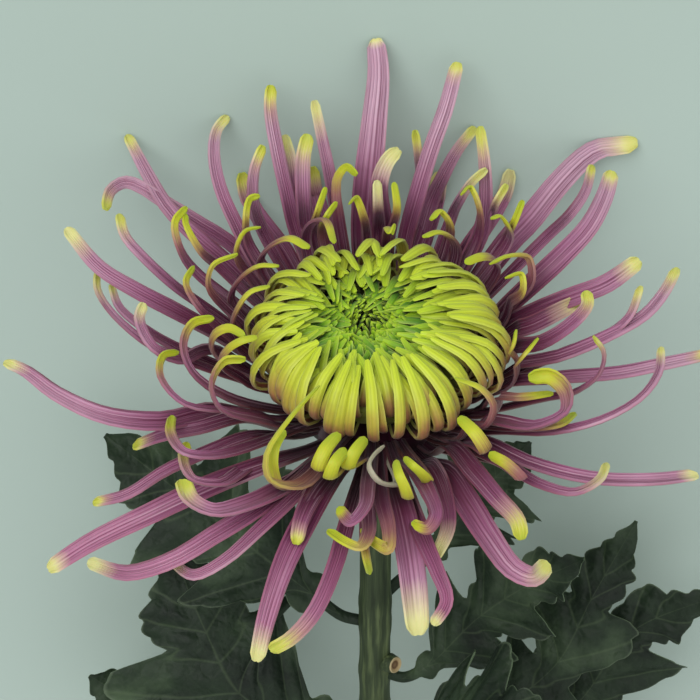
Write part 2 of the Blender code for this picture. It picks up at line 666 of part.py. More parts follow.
def stem_solid():
    """Make the ribbed stem with a swelling where each leaf leaves it."""
    knots = [height for _, _, (_, _, height), *_ in LEAVES]
    frames = []
    sections = []
    for step in range(STEM_STEPS + 1):
        height = STEM_TOP - (STEM_REACH + STEM_TOP) * step / STEM_STEPS
        swelling = sum(math.exp(-(((height - knot) / KNOT_LENGTH) ** 2)) for knot in knots)
        radius = STEM_RADIUS * (1.0 + KNOT_SWELLING * min(swelling, 1.0))
        frames.append((Vector((0.0, height, 0.0)), Vector((1.0, 0.0, 0.0)), Vector((0.0, 0.0, 1.0))))
        section = []
        for corner in range(STEM_SIDES):
            turn = 2.0 * math.pi * corner / STEM_SIDES - 0.5 * math.pi
            ribbed = radius * (STEM_GROOVE if corner % 2 else 1.0)
            section.append((ribbed * math.cos(turn), ribbed * math.sin(turn)))
        sections.append(section)
    stem = closed_sweep("stem", frames, sections)
    bpy.context.scene.collection.objects.link(stem)
    return stem


def leaf_stations(samples, blade_start):
    """Return the places along a leaf's rib, and how far along the blade each one is."""
    travelled = [0.0]
    for before, after in zip(samples, samples[1:]):
        travelled.append(travelled[-1] + (after - before).length)
    along = [(step / STALK_STEPS - 1.0, 0.0) for step in range(STALK_STEPS)] + list(LEAF_EDGE)
    places = []
    for blade, _ in along:
        share = blade_start * (1.0 + blade) if blade < 0.0 else blade_start + (1.0 - blade_start) * blade
        wanted = share * travelled[-1]
        index = next((i for i in range(1, len(travelled)) if travelled[i] >= wanted), len(travelled) - 1)
        part = (wanted - travelled[index - 1]) / (travelled[index] - travelled[index - 1])
        places.append(samples[index - 1].lerp(samples[index], part))
    return places, along


def leaf_solid(number, half_width, blade_start, pixels, draw):
    """Make one leaf: a stalk that widens into a lobed blade, folded along its rib and waved."""
    points = [seen_at(pixel[:2], pixel[2]) for pixel in pixels]
    foot = points[0]
    outward = Vector((points[1].x - foot.x, 0.0, points[1].z - foot.z)).normalized()
    start = outward * ((1.0 + KNOT_SWELLING) * STEM_RADIUS + SPACING) + Vector((0.0, foot.y, 0.0))
    leaving = start + outward * STALK_RUN + Vector((0.0, STALK_RISE, 0.0))
    samples = curve_through([start, leaving] + points[1:])
    stations, along = leaf_stations(samples, blade_start)
    to_eye = Vector((0.0, math.sin(VIEW_RISE), math.cos(VIEW_RISE)))
    across = to_eye.cross(stations[-1] - stations[0])
    phase = draw.uniform(0.0, WAVE_PHASES)
    bm = bmesh.new()
    rows = []
    for (place, side, upper), (blade, share) in zip(floret_frames(stations, across), along):
        opened = eased(blade / BLADE_OPENING)
        thick = STALK_THICKNESS + (BLADE_THICKNESS - STALK_THICKNESS) * opened
        forward = side.cross(upper)
        row = []
        for way in (-1.0, 0.0, 1.0):
            spread = share * draw.uniform(1.0 - LEAF_STRAY, 1.0 + LEAF_STRAY)
            reach = max(STALK_HALF_WIDTH * (1.0 - max(blade, 0.0)), half_width * spread)
            wave = LEAF_WAVE * math.sin(WAVE_TURNS * blade + phase + way) * opened * share
            raised = upper * (LEAF_FOLD * reach * opened * abs(way) + wave * abs(way))
            lean = forward * LEAF_LEAN * reach * opened * (1.0 - max(blade, 0.0)) * abs(way)
            middle = place + side * reach * way + raised + lean
            edge = 0.5 * thick * (EDGE_THICKNESS if way else 1.0)
            row.append([bm.verts.new(in_world(middle + upper * rise)) for rise in (edge, -edge)])
        rows.append(row)
    for low, high in zip(rows, rows[1:]):
        for column in range(2):
            for face in range(2):
                a, b = low[column][face], low[column + 1][face]
                c, d = high[column + 1][face], high[column][face]
                bm.faces.new((a, b, c))
                bm.faces.new((a, c, d))
        for column in (0, 2):
            bm.faces.new((low[column][0], low[column][1], high[column][1]))
            bm.faces.new((low[column][0], high[column][1], high[column][0]))
    for row in (rows[0], rows[-1]):
        for column in range(2):
            bm.faces.new((row[column][0], row[column + 1][0], row[column + 1][1]))
            bm.faces.new((row[column][0], row[column + 1][1], row[column][1]))
    leaf = solid_from(bm, f"leaf_{number}")
    bpy.context.scene.collection.objects.link(leaf)
    return leaf


def finished(obj, looks):
    """Give an object its material and smooth shading with sharp creases kept."""
    colour, roughness = looks
    material = bpy.data.materials.new(obj.name)
    material.use_nodes = True
    shader = material.node_tree.nodes["Principled BSDF"]
    shader.inputs["Base Color"].default_value = (*colour, 1.0)
    shader.inputs["Roughness"].default_value = roughness
    shader.inputs["Metallic"].default_value = 0.0
    obj.data.materials.clear()
    obj.data.materials.append(material)
    obj.data.shade_smooth()
    obj.data.set_sharp_from_angle(angle=SHARP_ANGLE)


def main():
    """Build the flower."""
    for obj in list(bpy.data.objects):
        bpy.data.objects.remove(obj)
    draw = random.Random(DRAW_SEED)
    rays = joined(turned_core("ray_florets", BOWL_LINE, CORE_SIDES), ray_florets(draw))
    flattened_on_table(rays)
    finished(rays, PURPLE)
    finished(joined(lime_core(), centre_florets(draw)), LIME)
    cup, bracts = bract_cup(draw)
    finished(joined(cup, bracts), STEM_GREEN)
    stem = stem_solid()
    flattened_on_table(stem)
    finished(stem, STEM_GREEN)
    for number, (half_width, blade_start, *pixels) in enumerate(LEAVES, start=1):
        finished(leaf_solid(number, half_width, blade_start, pixels, draw), LEAF_GREEN)


main()
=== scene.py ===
import math
import random

import bpy
from mathutils import Matrix, Vector


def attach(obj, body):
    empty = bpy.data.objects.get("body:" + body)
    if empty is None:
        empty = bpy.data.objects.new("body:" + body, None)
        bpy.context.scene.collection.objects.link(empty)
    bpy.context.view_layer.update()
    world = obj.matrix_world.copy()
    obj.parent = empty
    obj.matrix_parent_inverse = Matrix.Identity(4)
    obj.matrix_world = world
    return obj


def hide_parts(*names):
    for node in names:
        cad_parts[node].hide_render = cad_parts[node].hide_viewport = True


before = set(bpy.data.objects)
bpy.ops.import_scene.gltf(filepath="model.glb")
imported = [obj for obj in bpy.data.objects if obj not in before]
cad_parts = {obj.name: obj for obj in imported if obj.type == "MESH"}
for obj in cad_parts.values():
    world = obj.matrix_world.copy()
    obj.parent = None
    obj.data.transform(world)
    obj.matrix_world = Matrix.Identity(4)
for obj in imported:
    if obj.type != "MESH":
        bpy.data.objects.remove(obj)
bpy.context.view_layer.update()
print("The packed flower is loaded")

# Where the flower lies. Its own directions are x to the side, y along its axis and z to its front,
# in millimetres, as the photograph's own right, up and out.
flower = {
    "millimetre": 0.001,
    "stemReach": 200.0,
    "stemRadius": 3.6,
    "tilt": math.radians(14.5),
    "tableBite": 0.45,  # how deep the lowest florets are flattened on the table
    "centre": (-1.07, -72.99),
    "solidSeed": 11,  # the seed of the solids' own random draw
    "smoothAngle": math.radians(60.0),  # a bend sharper than this stays sharp
}
side = Vector((-1.0, 0.0, 0.0))
axis = Vector((0.0, -math.cos(flower["tilt"]), math.sin(flower["tilt"])))
front = Vector((0.0, math.sin(flower["tilt"]), math.cos(flower["tilt"])))
bloomRise = flower["stemReach"] * axis.z + flower["stemRadius"] * front.z - flower["tableBite"]
bloomCentre = Vector((*flower["centre"], bloomRise))

# How the photograph looks at it
view = {
    "rise": math.radians(44.0),
    "distance": 950.0,
    "pixelSize": 150.0 / 700.0,
    "picture": 700.0,
    "bloomPixel": (377.0, 347.0),
    "middlePixel": (350.0, 350.0),
    "sensor": 36.0,
    "farthest": 20.0,  # in metres
}
viewUp = Vector((0.0, math.cos(view["rise"]), -math.sin(view["rise"])))
toEye = Vector((0.0, math.sin(view["rise"]), math.cos(view["rise"])))


def inWorld(point):
    return (bloomCentre + point.x * side + point.y * axis + point.z * front) * flower["millimetre"]


def turned(direction):
    return direction.x * side + direction.y * axis + direction.z * front


def upAxis(height):
    # a step along the bloom's axis
    return Vector((0.0, height, 0.0))


def spokes(turn):
    # the ways outwards and aside at a turn about the axis
    return Vector((math.cos(turn), 0.0, math.sin(turn))), Vector((-math.sin(turn), 0.0, math.cos(turn)))


def eased(share):
    share = min(max(share, 0.0), 1.0)
    return share * share * (3.0 - 2.0 * share)


def read(stops, share):
    # the value at a share of a list of (share, value) stops
    for (start, low), (end, high) in zip(stops, stops[1:]):
        if share <= end:
            return low + (high - low) * (share - start) / (end - start)
    return stops[-1][1]


def overTable(point):
    return bloomRise + point.y * axis.z + point.z * front.z


def onPlane(column, row):
    across = (column - view["bloomPixel"][0]) * view["pixelSize"]
    return Vector((across, 0.0, 0.0)) + (view["bloomPixel"][1] - row) * view["pixelSize"] * viewUp


eye = onPlane(*view["middlePixel"]) + view["distance"] * toEye


def seenAt(pixel, height):
    # the point at a height along the axis that a pixel shows
    target = onPlane(*pixel)
    return eye.lerp(target, (height - eye.y) / (target.y - eye.y))


def seenOnTable(pixel, lift):
    target = onPlane(*pixel)
    return eye.lerp(target, (lift - overTable(eye)) / (overTable(target) - overTable(eye)))


def curveThrough(points, steps=14):
    # a smooth line of samples through points
    ends = [2 * points[0] - points[1]] + list(points) + [2 * points[-1] - points[-2]]
    samples = []
    for before, start, end, after in zip(ends, ends[1:], ends[2:], ends[3:]):
        lengths = [max(span.length, 1e-3) ** 0.5 for span in (start - before, end - start, after - end)]
        leave = (start - before) / lengths[0] - (end - before) / (lengths[0] + lengths[1])
        leave = (leave + (end - start) / lengths[1]) * lengths[1]
        arrive = (end - start) / lengths[1] - (after - start) / (lengths[1] + lengths[2])
        arrive = (arrive + (after - end) / lengths[2]) * lengths[1]
        for step in range(steps):
            t = step / steps
            samples.append(
                start * (2 * t**3 - 3 * t**2 + 1) + leave * (t**3 - 2 * t**2 + t)
                + end * (3 * t**2 - 2 * t**3) + arrive * (t**3 - t**2)
            )
    return samples + [points[-1].copy()]


def travelledAlong(samples, bendWeight):
    travelled = [0.0]
    for index in range(1, len(samples)):
        step = samples[index] - samples[index - 1]
        turn = (samples[index - 1] - samples[index - 2]).angle(step, 0.0) if index > 1 else 0.0
        travelled.append(travelled[-1] + step.length + bendWeight * turn)
    return travelled


def placedAt(samples, travelled, shares):
    # the places at rising shares of a sampled line's length
    places = []
    index = 1
    for share in shares:
        wanted = share * travelled[-1]
        while index < len(travelled) - 1 and travelled[index] < wanted:
            index += 1
        part = (wanted - travelled[index - 1]) / (travelled[index] - travelled[index - 1])
        places.append(samples[index - 1].lerp(samples[index], part))
    return places


# The space that the lime centre fills
dome = {"radius": 29.5, "middle": 1.2, "rise": 13.0, "depth": 10.6, "roundness": 2.5, "leastLevel": 0.01}


def domeLevel(point, grown):
    # 1 on the skin of the dome when it has grown by so much, and less inside it
    away = math.hypot(point.x, point.z) / (dome["radius"] + grown)
    rise = point.y - dome["middle"]
    tall = abs(rise) / ((dome["rise"] if rise > 0.0 else dome["depth"]) + grown)
    level = (away ** dome["roundness"] + tall ** dome["roundness"]) ** (1.0 / dome["roundness"])
    return max(level, dome["leastLevel"])


def movedFromMiddle(point, factor):
    height = dome["middle"] + (point.y - dome["middle"]) * factor
    return Vector((point.x * factor, height, point.z * factor))


def keptAboveTable(samples, lift):
    kept = []
    for point in samples:
        short = lift - overTable(point)
        kept.append(point + Vector((0.0, 0.0, short / front.z)) if short > 0.0 else point)
    return kept


def framesAlong(places, across):
    # the place, the way across, the upper side and the way ahead at each place
    frames = []
    for index, place in enumerate(places):
        ahead = (places[min(index + 1, len(places) - 1)] - places[max(index - 1, 0)]).normalized()
        across = (across - across.dot(ahead) * ahead).normalized()
        frames.append((place, across, across.cross(ahead), ahead))
    return frames


def sRgb(code):
    channels = [int(code[index:index + 2], 16) / 255.0 for index in (1, 3, 5)]
    return [c / 12.92 if c <= 0.04045 else ((c + 0.055) / 1.055) ** 2.4 for c in channels] + [1.0]


def perMetre(size):
    # a pattern's scale, from the real size of what it draws in millimetres
    return 1.0 / (size * flower["millimetre"])


def fillNode(node, values):
    # gives a node its settings, and links each value that is another node's output
    for name, value in values.items():
        if isinstance(value, bpy.types.NodeSocket):
            node.id_data.links.new(value, node.inputs[name])
        elif name == "stops":
            stops = node.color_ramp.elements
            for number, (place, code) in enumerate(value):
                stop = stops[number] if number < 2 else stops.new(place)
                stop.position = place
                stop.color = sRgb(code)
        elif isinstance(name, int) or name in node.inputs:
            node.inputs[name].default_value = sRgb(value) if isinstance(value, str) else value
        else:
            setattr(node, name, value)


def addNode(tree, kind, values=None, output=None):
    # a new node, of which the output named or else the first one in use is given back
    node = tree.nodes.new("ShaderNode" + kind)
    fillNode(node, values or {})
    return node.outputs[output] if output else next(socket for socket in node.outputs if socket.enabled)


def newMaterial(name):
    material = bpy.data.materials.new(name)
    material.use_nodes = True
    return material, material.node_tree


def acrossStrip(tree):
    # the place across a strip from 0 to 1, and how far that is on the way from its middle to its margins
    across = addNode(tree, "SeparateXYZ", {0: addNode(tree, "UVMap")})
    spread = addNode(tree, "MapRange", {"Value": across, "To Min": -1.0, "To Max": 1.0})
    return across, addNode(tree, "Math", {"operation": "ABSOLUTE", 0: spread})


def makeStrip(name, columns, rows):
    # a flat closed strip: x from -0.5 to 0.5, y from 0 to 1, its upper face at z 0, its under face at z -1
    bpy.ops.object.select_all(action="DESELECT")
    bpy.ops.mesh.primitive_grid_add(x_subdivisions=columns, y_subdivisions=rows, size=1.0)
    strip = bpy.context.active_object
    strip.name = name
    bpy.ops.object.mode_set(mode="EDIT")
    bpy.ops.mesh.select_all(action="SELECT")
    bpy.ops.transform.translate(value=(0.0, 0.5, 0.0))
    bpy.ops.object.mode_set(mode="OBJECT")
    thick = strip.modifiers.new("Thickness", "SOLIDIFY")
    thick.thickness = 1.0
    thick.offset = -1.0
    bpy.ops.object.modifier_apply(modifier=thick.name)
    strip["rows"] = rows
    strip["columns"] = columns
    return strip


def setMarks(mesh, marks):
    # a number at each corner for each mark, or one number for all the corners
    for mark, values in marks.items():
        values = values if isinstance(values, list) else [values] * len(mesh.vertices)
        mesh.attributes.new(mark, "FLOAT", "POINT").data.foreach_set("value", values)


def copyOf(strip, name, places, marks):
    # a copy of a strip with its own mesh, moved to new places
    mesh = strip.data.copy()
    mesh.name = name
    mesh.vertices.foreach_set("co", [value for place in places for value in inWorld(place)])
    setMarks(mesh, marks)
    piece = bpy.data.objects.new(name, mesh)
    bpy.context.scene.collection.objects.link(piece)
    return piece


def joinAs(name, parts, material, node):
    bpy.ops.object.select_all(action="DESELECT")
    for part in parts:
        part.select_set(True)
    bpy.context.view_layer.objects.active = parts[0]
    if len(parts) > 1:
        bpy.ops.object.join()
    piece = bpy.context.active_object
    piece.name = name
    piece.data.name = name
    bpy.ops.object.mode_set(mode="EDIT")
    bpy.ops.mesh.select_all(action="SELECT")
    bpy.ops.mesh.normals_make_consistent(inside=False)
    bpy.ops.object.mode_set(mode="OBJECT")
    bpy.ops.object.shade_smooth_by_angle(angle=flower["smoothAngle"])
    piece.data.materials.clear()
    piece.data.materials.append(material)
    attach(piece, "root")
    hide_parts(node)
    print(name, "has", len(piece.data.vertices), "points")


# Each purple floret: the tip's height, the greatest width, then pixels from the dome's rim to the tip.
# A height of None lets the tip down on to the table.
raysBehind = (
    (31, 3.2, (406, 238), (416, 200), (431, 150), (446, 108), (458, 62)),
    (26, 2.8, (297, 235), (286, 190), (276, 145), (270, 108), (271, 85)),
    (25, 2.5, (340, 230), (331, 180), (323, 142), (314, 100)),
    (20, 3.0, (308, 235), (303, 195), (303, 158), (308, 134)),
    (19, 2.3, (265, 235), (253, 200), (254, 170), (263, 145)),
    (None, 2.4, (255, 262), (238, 228), (221, 190), (214, 155), (217, 130), (228, 116)),
    (18, 4.2, (383, 232), (380, 182), (388, 161), (400, 149)),
    (14, 2.6, (379, 234), (378, 205), (377, 180)),
    (20, 2.1, (419, 192), (419, 160), (415, 130)),
    (None, 3.0, (430, 205), (442, 178), (456, 152), (475, 127)),
    (16, 2.1, (450, 222), (460, 200), (473, 181), (487, 169)),
    (21, 3.2, (480, 235), (486, 202), (485, 165), (480, 126)),
    (13, 2.0, (486, 228), (497, 201), (507, 184)),
)
raysLeft = (
    (None, 3.0, (235, 270), (200, 240), (168, 208), (148, 175), (127, 135)),
    (9, 2.8, (236, 248), (200, 224), (166, 203), (143, 188), (126, 182), (111, 190), (105, 210)),
    (15, 3.1, (215, 333), (175, 311), (137, 291), (100, 268), (66, 228)),
    (13, 2.1, (200, 304), (172, 284), (142, 256), (125, 236), (119, 214)),
    (9, 2.0, (190, 362), (150, 345), (116, 317), (98, 291), (97, 272)),
    (7, 2.0, (185, 352), (145, 329), (120, 308), (111, 284)),
    (10, 2.2, (215, 350), (178, 359), (153, 347), (139, 320), (144, 303)),
    (2, 3.8, (215, 411), (160, 422), (105, 416), (58, 395), (25, 371), (4, 362)),
    (-10, 3.2, (240, 418), (200, 428), (165, 435), (133, 447)),
    (-14, 2.6, (250, 436), (205, 453), (165, 471), (128, 494), (93, 503)),
    (-22, 4.0, (262, 466), (205, 488), (150, 514), (92, 542), (48, 570)),
    (-17, 3.4, (262, 506), (215, 535), (175, 559), (130, 573), (88, 562)),
    (-12, 2.6, (300, 492), (262, 527), (225, 560), (195, 575), (170, 560)),
    (2, 4.0, (290, 484), (250, 503), (214, 511), (191, 500), (182, 480)),
    (0, 2.8, (250, 466), (220, 483), (193, 479), (183, 458), (188, 443)),
)
raysRight = (
    (None, 4.8, (510, 240), (530, 219), (560, 182), (588, 155), (611, 144), (638, 142)),
    (12, 2.0, (545, 238), (570, 214), (585, 192), (592, 165)),
    (14, 4.0, (495, 320), (530, 286), (562, 256), (588, 228), (604, 198), (612, 171)),
    (12, 3.6, (500, 330), (538, 311), (572, 297), (606, 284), (640, 260)),
    (5, 3.4, (500, 336), (532, 325), (560, 311), (585, 299)),
    (12, 2.8, (505, 350), (543, 342), (570, 325), (587, 306), (586, 291)),
    (12, 2.9, (505, 368), (560, 356), (610, 335), (645, 315), (666, 290), (677, 268)),
    (14, 2.0, (560, 354), (602, 338), (629, 317), (641, 286)),
    (13, 1.9, (545, 398), (577, 391), (599, 374), (604, 353), (593, 336)),
    (2, 3.1, (500, 385), (560, 378), (620, 373), (665, 364), (712, 354)),
    (10, 2.1, (500, 431), (555, 431), (603, 419), (640, 398), (659, 372), (661, 347)),
    (-8, 3.2, (480, 440), (530, 463), (590, 478), (650, 480), (698, 475)),
    (3, 2.1, (500, 462), (540, 484), (575, 492), (599, 480), (607, 463)),
)
raysInFront = (
    (-3, 3.6, (450, 445), (474, 471), (498, 499), (517, 520), (522, 540)),
    (-7, 4.8, (445, 470), (468, 505), (490, 539), (513, 569), (532, 577), (548, 563)),
    (-24, 4.4, (320, 495), (300, 530), (283, 566), (267, 615), (256, 662)),
    (-22, 2.9, (346, 525), (333, 570), (314, 612), (292, 637), (270, 650)),
)

# Shorter florets that rise beside the centre and hook over
hooksBehind = (
    (15, 2.4, (342, 240), (337, 205), (337, 179), (346, 167), (357, 175)),
    (15, 2.5, (306, 244), (313, 222), (325, 220), (334, 243)),
    (15, 2.2, (367, 240), (363, 215), (356, 198), (349, 204)),
    (16, 2.2, (390, 238), (397, 207), (394, 182)),
    (14, 2.6, (447, 246), (449, 221), (440, 211), (431, 220)),
    (14, 2.5, (456, 256), (449, 236), (437, 232), (423, 237)),
    (13, 2.7, (386, 256), (389, 238), (395, 224)),
    (16, 2.3, (477, 240), (479, 207), (470, 187), (461, 195)),
    (14, 2.1, (503, 240), (514, 222), (523, 200)),
    (13, 2.6, (250, 246), (246, 218), (250, 199), (260, 196)),
    (14, 2.5, (246, 272), (236, 250), (245, 231), (261, 227)),
    (14, 2.6, (261, 268), (266, 250), (288, 238), (309, 248)),
    (14, 2.6, (232, 304), (238, 281), (258, 266), (279, 266)),
)
hooksLeft = (
    (14, 2.5, (196, 272), (178, 243), (175, 222), (187, 207)),
    (13, 2.4, (218, 266), (200, 250), (186, 224), (186, 214)),
    (11, 2.3, (222, 330), (198, 306), (186, 283), (194, 266)),
    (13, 2.3, (226, 308), (208, 284), (213, 265), (238, 254)),
    (12, 2.6, (234, 330), (236, 311), (250, 292), (270, 286)),
    (11, 2.6, (214, 353), (214, 335), (229, 328), (245, 336)),
    (12, 2.6, (222, 366), (227, 350), (241, 341), (257, 337)),
    (12, 3.2, (262, 421), (220, 408), (211, 385), (224, 361), (246, 359)),
    (8, 3.0, (225, 396), (193, 373), (183, 347), (193, 323), (214, 318)),
    (6, 2.3, (236, 411), (185, 404), (161, 378), (164, 355), (179, 352)),
    (-1, 2.5, (215, 455), (185, 452), (171, 434), (172, 416)),
)
hooksRight = (
    (13, 2.4, (497, 272), (492, 258), (480, 257), (465, 263)),
    (14, 2.6, (515, 300), (532, 278), (528, 257), (508, 256), (490, 264)),
    (13, 2.4, (505, 306), (523, 290), (521, 274), (505, 278)),
    (9, 4.3, (490, 420), (535, 426), (565, 412), (566, 391), (549, 376), (528, 378)),
    (2, 2.8, (490, 397), (520, 397), (553, 393)),
    (11, 2.9, (470, 428), (488, 424), (494, 406), (482, 389), (455, 378)),
)
hooksBelow = (
    (-1, 4.0, (415, 470), (428, 492), (436, 515), (428, 528), (412, 523)),
    (0, 3.2, (368, 485), (364, 508), (352, 521), (338, 508)),
)
hooksInFront = (
    (5, 3.5, (331, 462), (318, 468), (325, 450), (339, 433)),
    (4, 3.1, (358, 462), (348, 467), (355, 452), (366, 438)),
    (4, 2.8, (408, 498), (404, 486), (399, 475), (395, 461)),
    (4, 2.9, (428, 482), (422, 474), (413, 466), (404, 458)),
    (3, 2.4, (398, 484), (378, 481), (369, 467), (374, 455), (384, 446)),
    (9, 3.2, (282, 488), (272, 466), (274, 447), (284, 430)),
)
# Florets that differ from those beside them: height at the rim and how far the tip's colour reaches,
# for some how deep their colour and how pale their tip is, then as above. The small ones are left out
# of the solids.
otherRays = (
    ((-3.5, (5.0, 8.0)), 16, 2.4, (303, 225), (294, 190), (291, 160), (284, 135)),
    ((-3.5, (1.6, 2.0), 0.0, 0.8), None, 5.6, (365, 235), (369, 180), (375, 120), (379, 72), (376, 38)),
    ((-6.0, (8.0, 9.0), 0.0, 0.95), -17, 5.1, (398, 500), (406, 535), (413, 582), (418, 636)),
    ((-7.0, (2.6, 3.4)), -15, 3.2, (424, 540), (437, 570), (447, 600), (433, 625)),
    ((-7.0, (6.0, 7.0)), -9, 3.5, (430, 465), (444, 495), (448, 528), (434, 560)),
    ((-7.0, (3.2, 4.0)), -8, 4.0, (322, 482), (308, 503), (300, 523), (296, 545)),
)
otherHooks = (
    ((1.0, (34.0, 38.0)), 14, 3.2, (296, 486), (268, 478), (266, 455), (290, 418), (319, 386)),
    ((-1.0, (12.0, 14.0)), 6, 3.3, (474, 442), (486, 450), (476, 434), (459, 417)),
    ((-1.0, (9.0, 11.0)), 4, 2.9, (506, 466), (521, 478), (508, 465), (489, 454)),
    ((1.0, (9.0, 12.0)), 14, 2.1, (313, 236), (318, 211), (326, 187)),
    ((1.0, (9.0, 12.0)), 12, 2.1, (322, 236), (327, 216), (337, 202)),
    ((1.0, (9.0, 12.0)), 14, 2.1, (507, 245), (508, 226), (500, 216), (491, 219)),
    ((1.0, (9.0, 12.0)), 9, 1.9, (500, 362), (513, 346), (516, 330)),
    ((1.0, (9.0, 12.0)), 8, 1.9, (508, 372), (525, 354), (538, 338)),
    ((1.0, (9.0, 12.0)), 2, 2.4, (525, 428), (558, 425), (575, 413)),
    ((-2.0, (15.0, 20.0)), 5, 3.3, (338, 470), (330, 477), (335, 463), (346, 449)),
    ((-4.5, (16.0, 18.0)), -6, 3.3, (382, 500), (389, 530), (388, 548), (376, 543), (361, 530)),
    ((-5.5, (13.0, 15.0)), -3, 3.2, (368, 505), (368, 535), (360, 547), (346, 542), (328, 530)),
    ((-9.0, (9.0, 12.0)), -14, 2.2, (364, 535), (366, 555), (370, 574)),
)

# What all purple florets have, then what the long and the hooked ones have of their own. Their rims and
# tips are for those behind, left, right, in front and below.
purpleFlorets = {
    "seed": 23,
    "bendWeight": 5.0,
    "rootRadius": 14.5,
    "underRim": 22.0,
    "rootPull": 0.6,  # how much of the root's height the line keeps under the rim
    "dip": 2.0,
    "arch": 3.6,
    "halfThickness": 0.95,
    "spacing": 0.4,
    "tierStep": 1.2,
    "thickness": ((0.0, 0.8), (0.4, 0.55), (0.9, 0.5), (1.0, 0.4)),
    "taper": (0.0, 0.34),
    "tipRows": 1.25,
    "bow": 0.5,  # how long the closing tip is, as a share of the width
    "twist": math.radians(14.0),
    "alongLength": 62.0,
    "toneDraw": (-0.2, 0.2),
    "toneRows": (80.0, 600.0),  # the pixel row from which the tone deepens, and over how many rows
    "faded": (398, 484),  # the floret in front that has dried to grey starts at this pixel
}
longFlorets = {
    "hook": 0.0,
    "tiers": (-14.9, -16.4, -17.9),
    "rims": (-3.5, -4.5, -4.5, -7.0),
    "tips": ((3.5, 9.0),) * 4,
    "width": ((0.0, 0.55), (0.15, 0.66), (0.35, 0.86), (0.55, 1.0), (0.85, 0.96), (1.0, 0.82)),
    "widen": 1.14,
    "curl": ((0.0, 160.0), (0.3, 140.0), (0.6, 110.0), (0.85, 105.0), (1.0, 135.0)),
    "roll": math.radians(24.0),
    "ridge": 0.09,
}
hookedFlorets = {
    "hook": 1.0,
    "tiers": (-12.0, -13.4),
    "rims": (1.0, 1.0, 1.0, -2.0, -2.0),
    "tips": ((8.0, 12.0), (9.0, 13.0), (9.0, 13.0), (19.0, 26.0), (4.5, 6.5)),
    "width": ((0.0, 0.60), (0.2, 0.8), (0.45, 1.0), (0.8, 0.88), (1.0, 0.68)),
    "widen": 0.98,
    "curl": ((0.0, 160.0), (0.35, 112.0), (0.7, 82.0), (1.0, 100.0)),
    "roll": math.radians(8.0),
    "ridge": 0.05,
}
# The under side's own fan, let down on to the table
underFlorets = {
    "count": 5,
    "fan": math.radians(56.0),
    "width": 3.6,
    "tone": 0.6,
    "lie": (-12.0, 2.0),  # how far along the axis a tip lies
    "overTable": 0.5,
    "root": -17.5,
    "rim": (22.0, -15.0),
    "elbow": (0.7, 0.5, 5.0),  # as shares of the tip's reach and height, and how far below
    "upturn": (4.0, 7.0),
}
# How any floret is rolled and closes at its tip: how far the tip narrows and its middle rises, and how
# far its corners and its middle draw back, as shares of the width
form = {
    "rolledBy": 0.5,
    "curlDraw": (0.88, 1.08),
    "mostCurl": 168.0,
    "taperFrom": 0.5,
    "ridgesBy": 0.3,
    "underRidge": 0.6,
    "tipNarrows": 0.35,
    "tipRises": 0.6,
    "corners": 0.14,
    "notch": 0.05,
    "notchWidth": 0.12,
}
rayStrip = makeStrip("rayStrip", 12, 22)


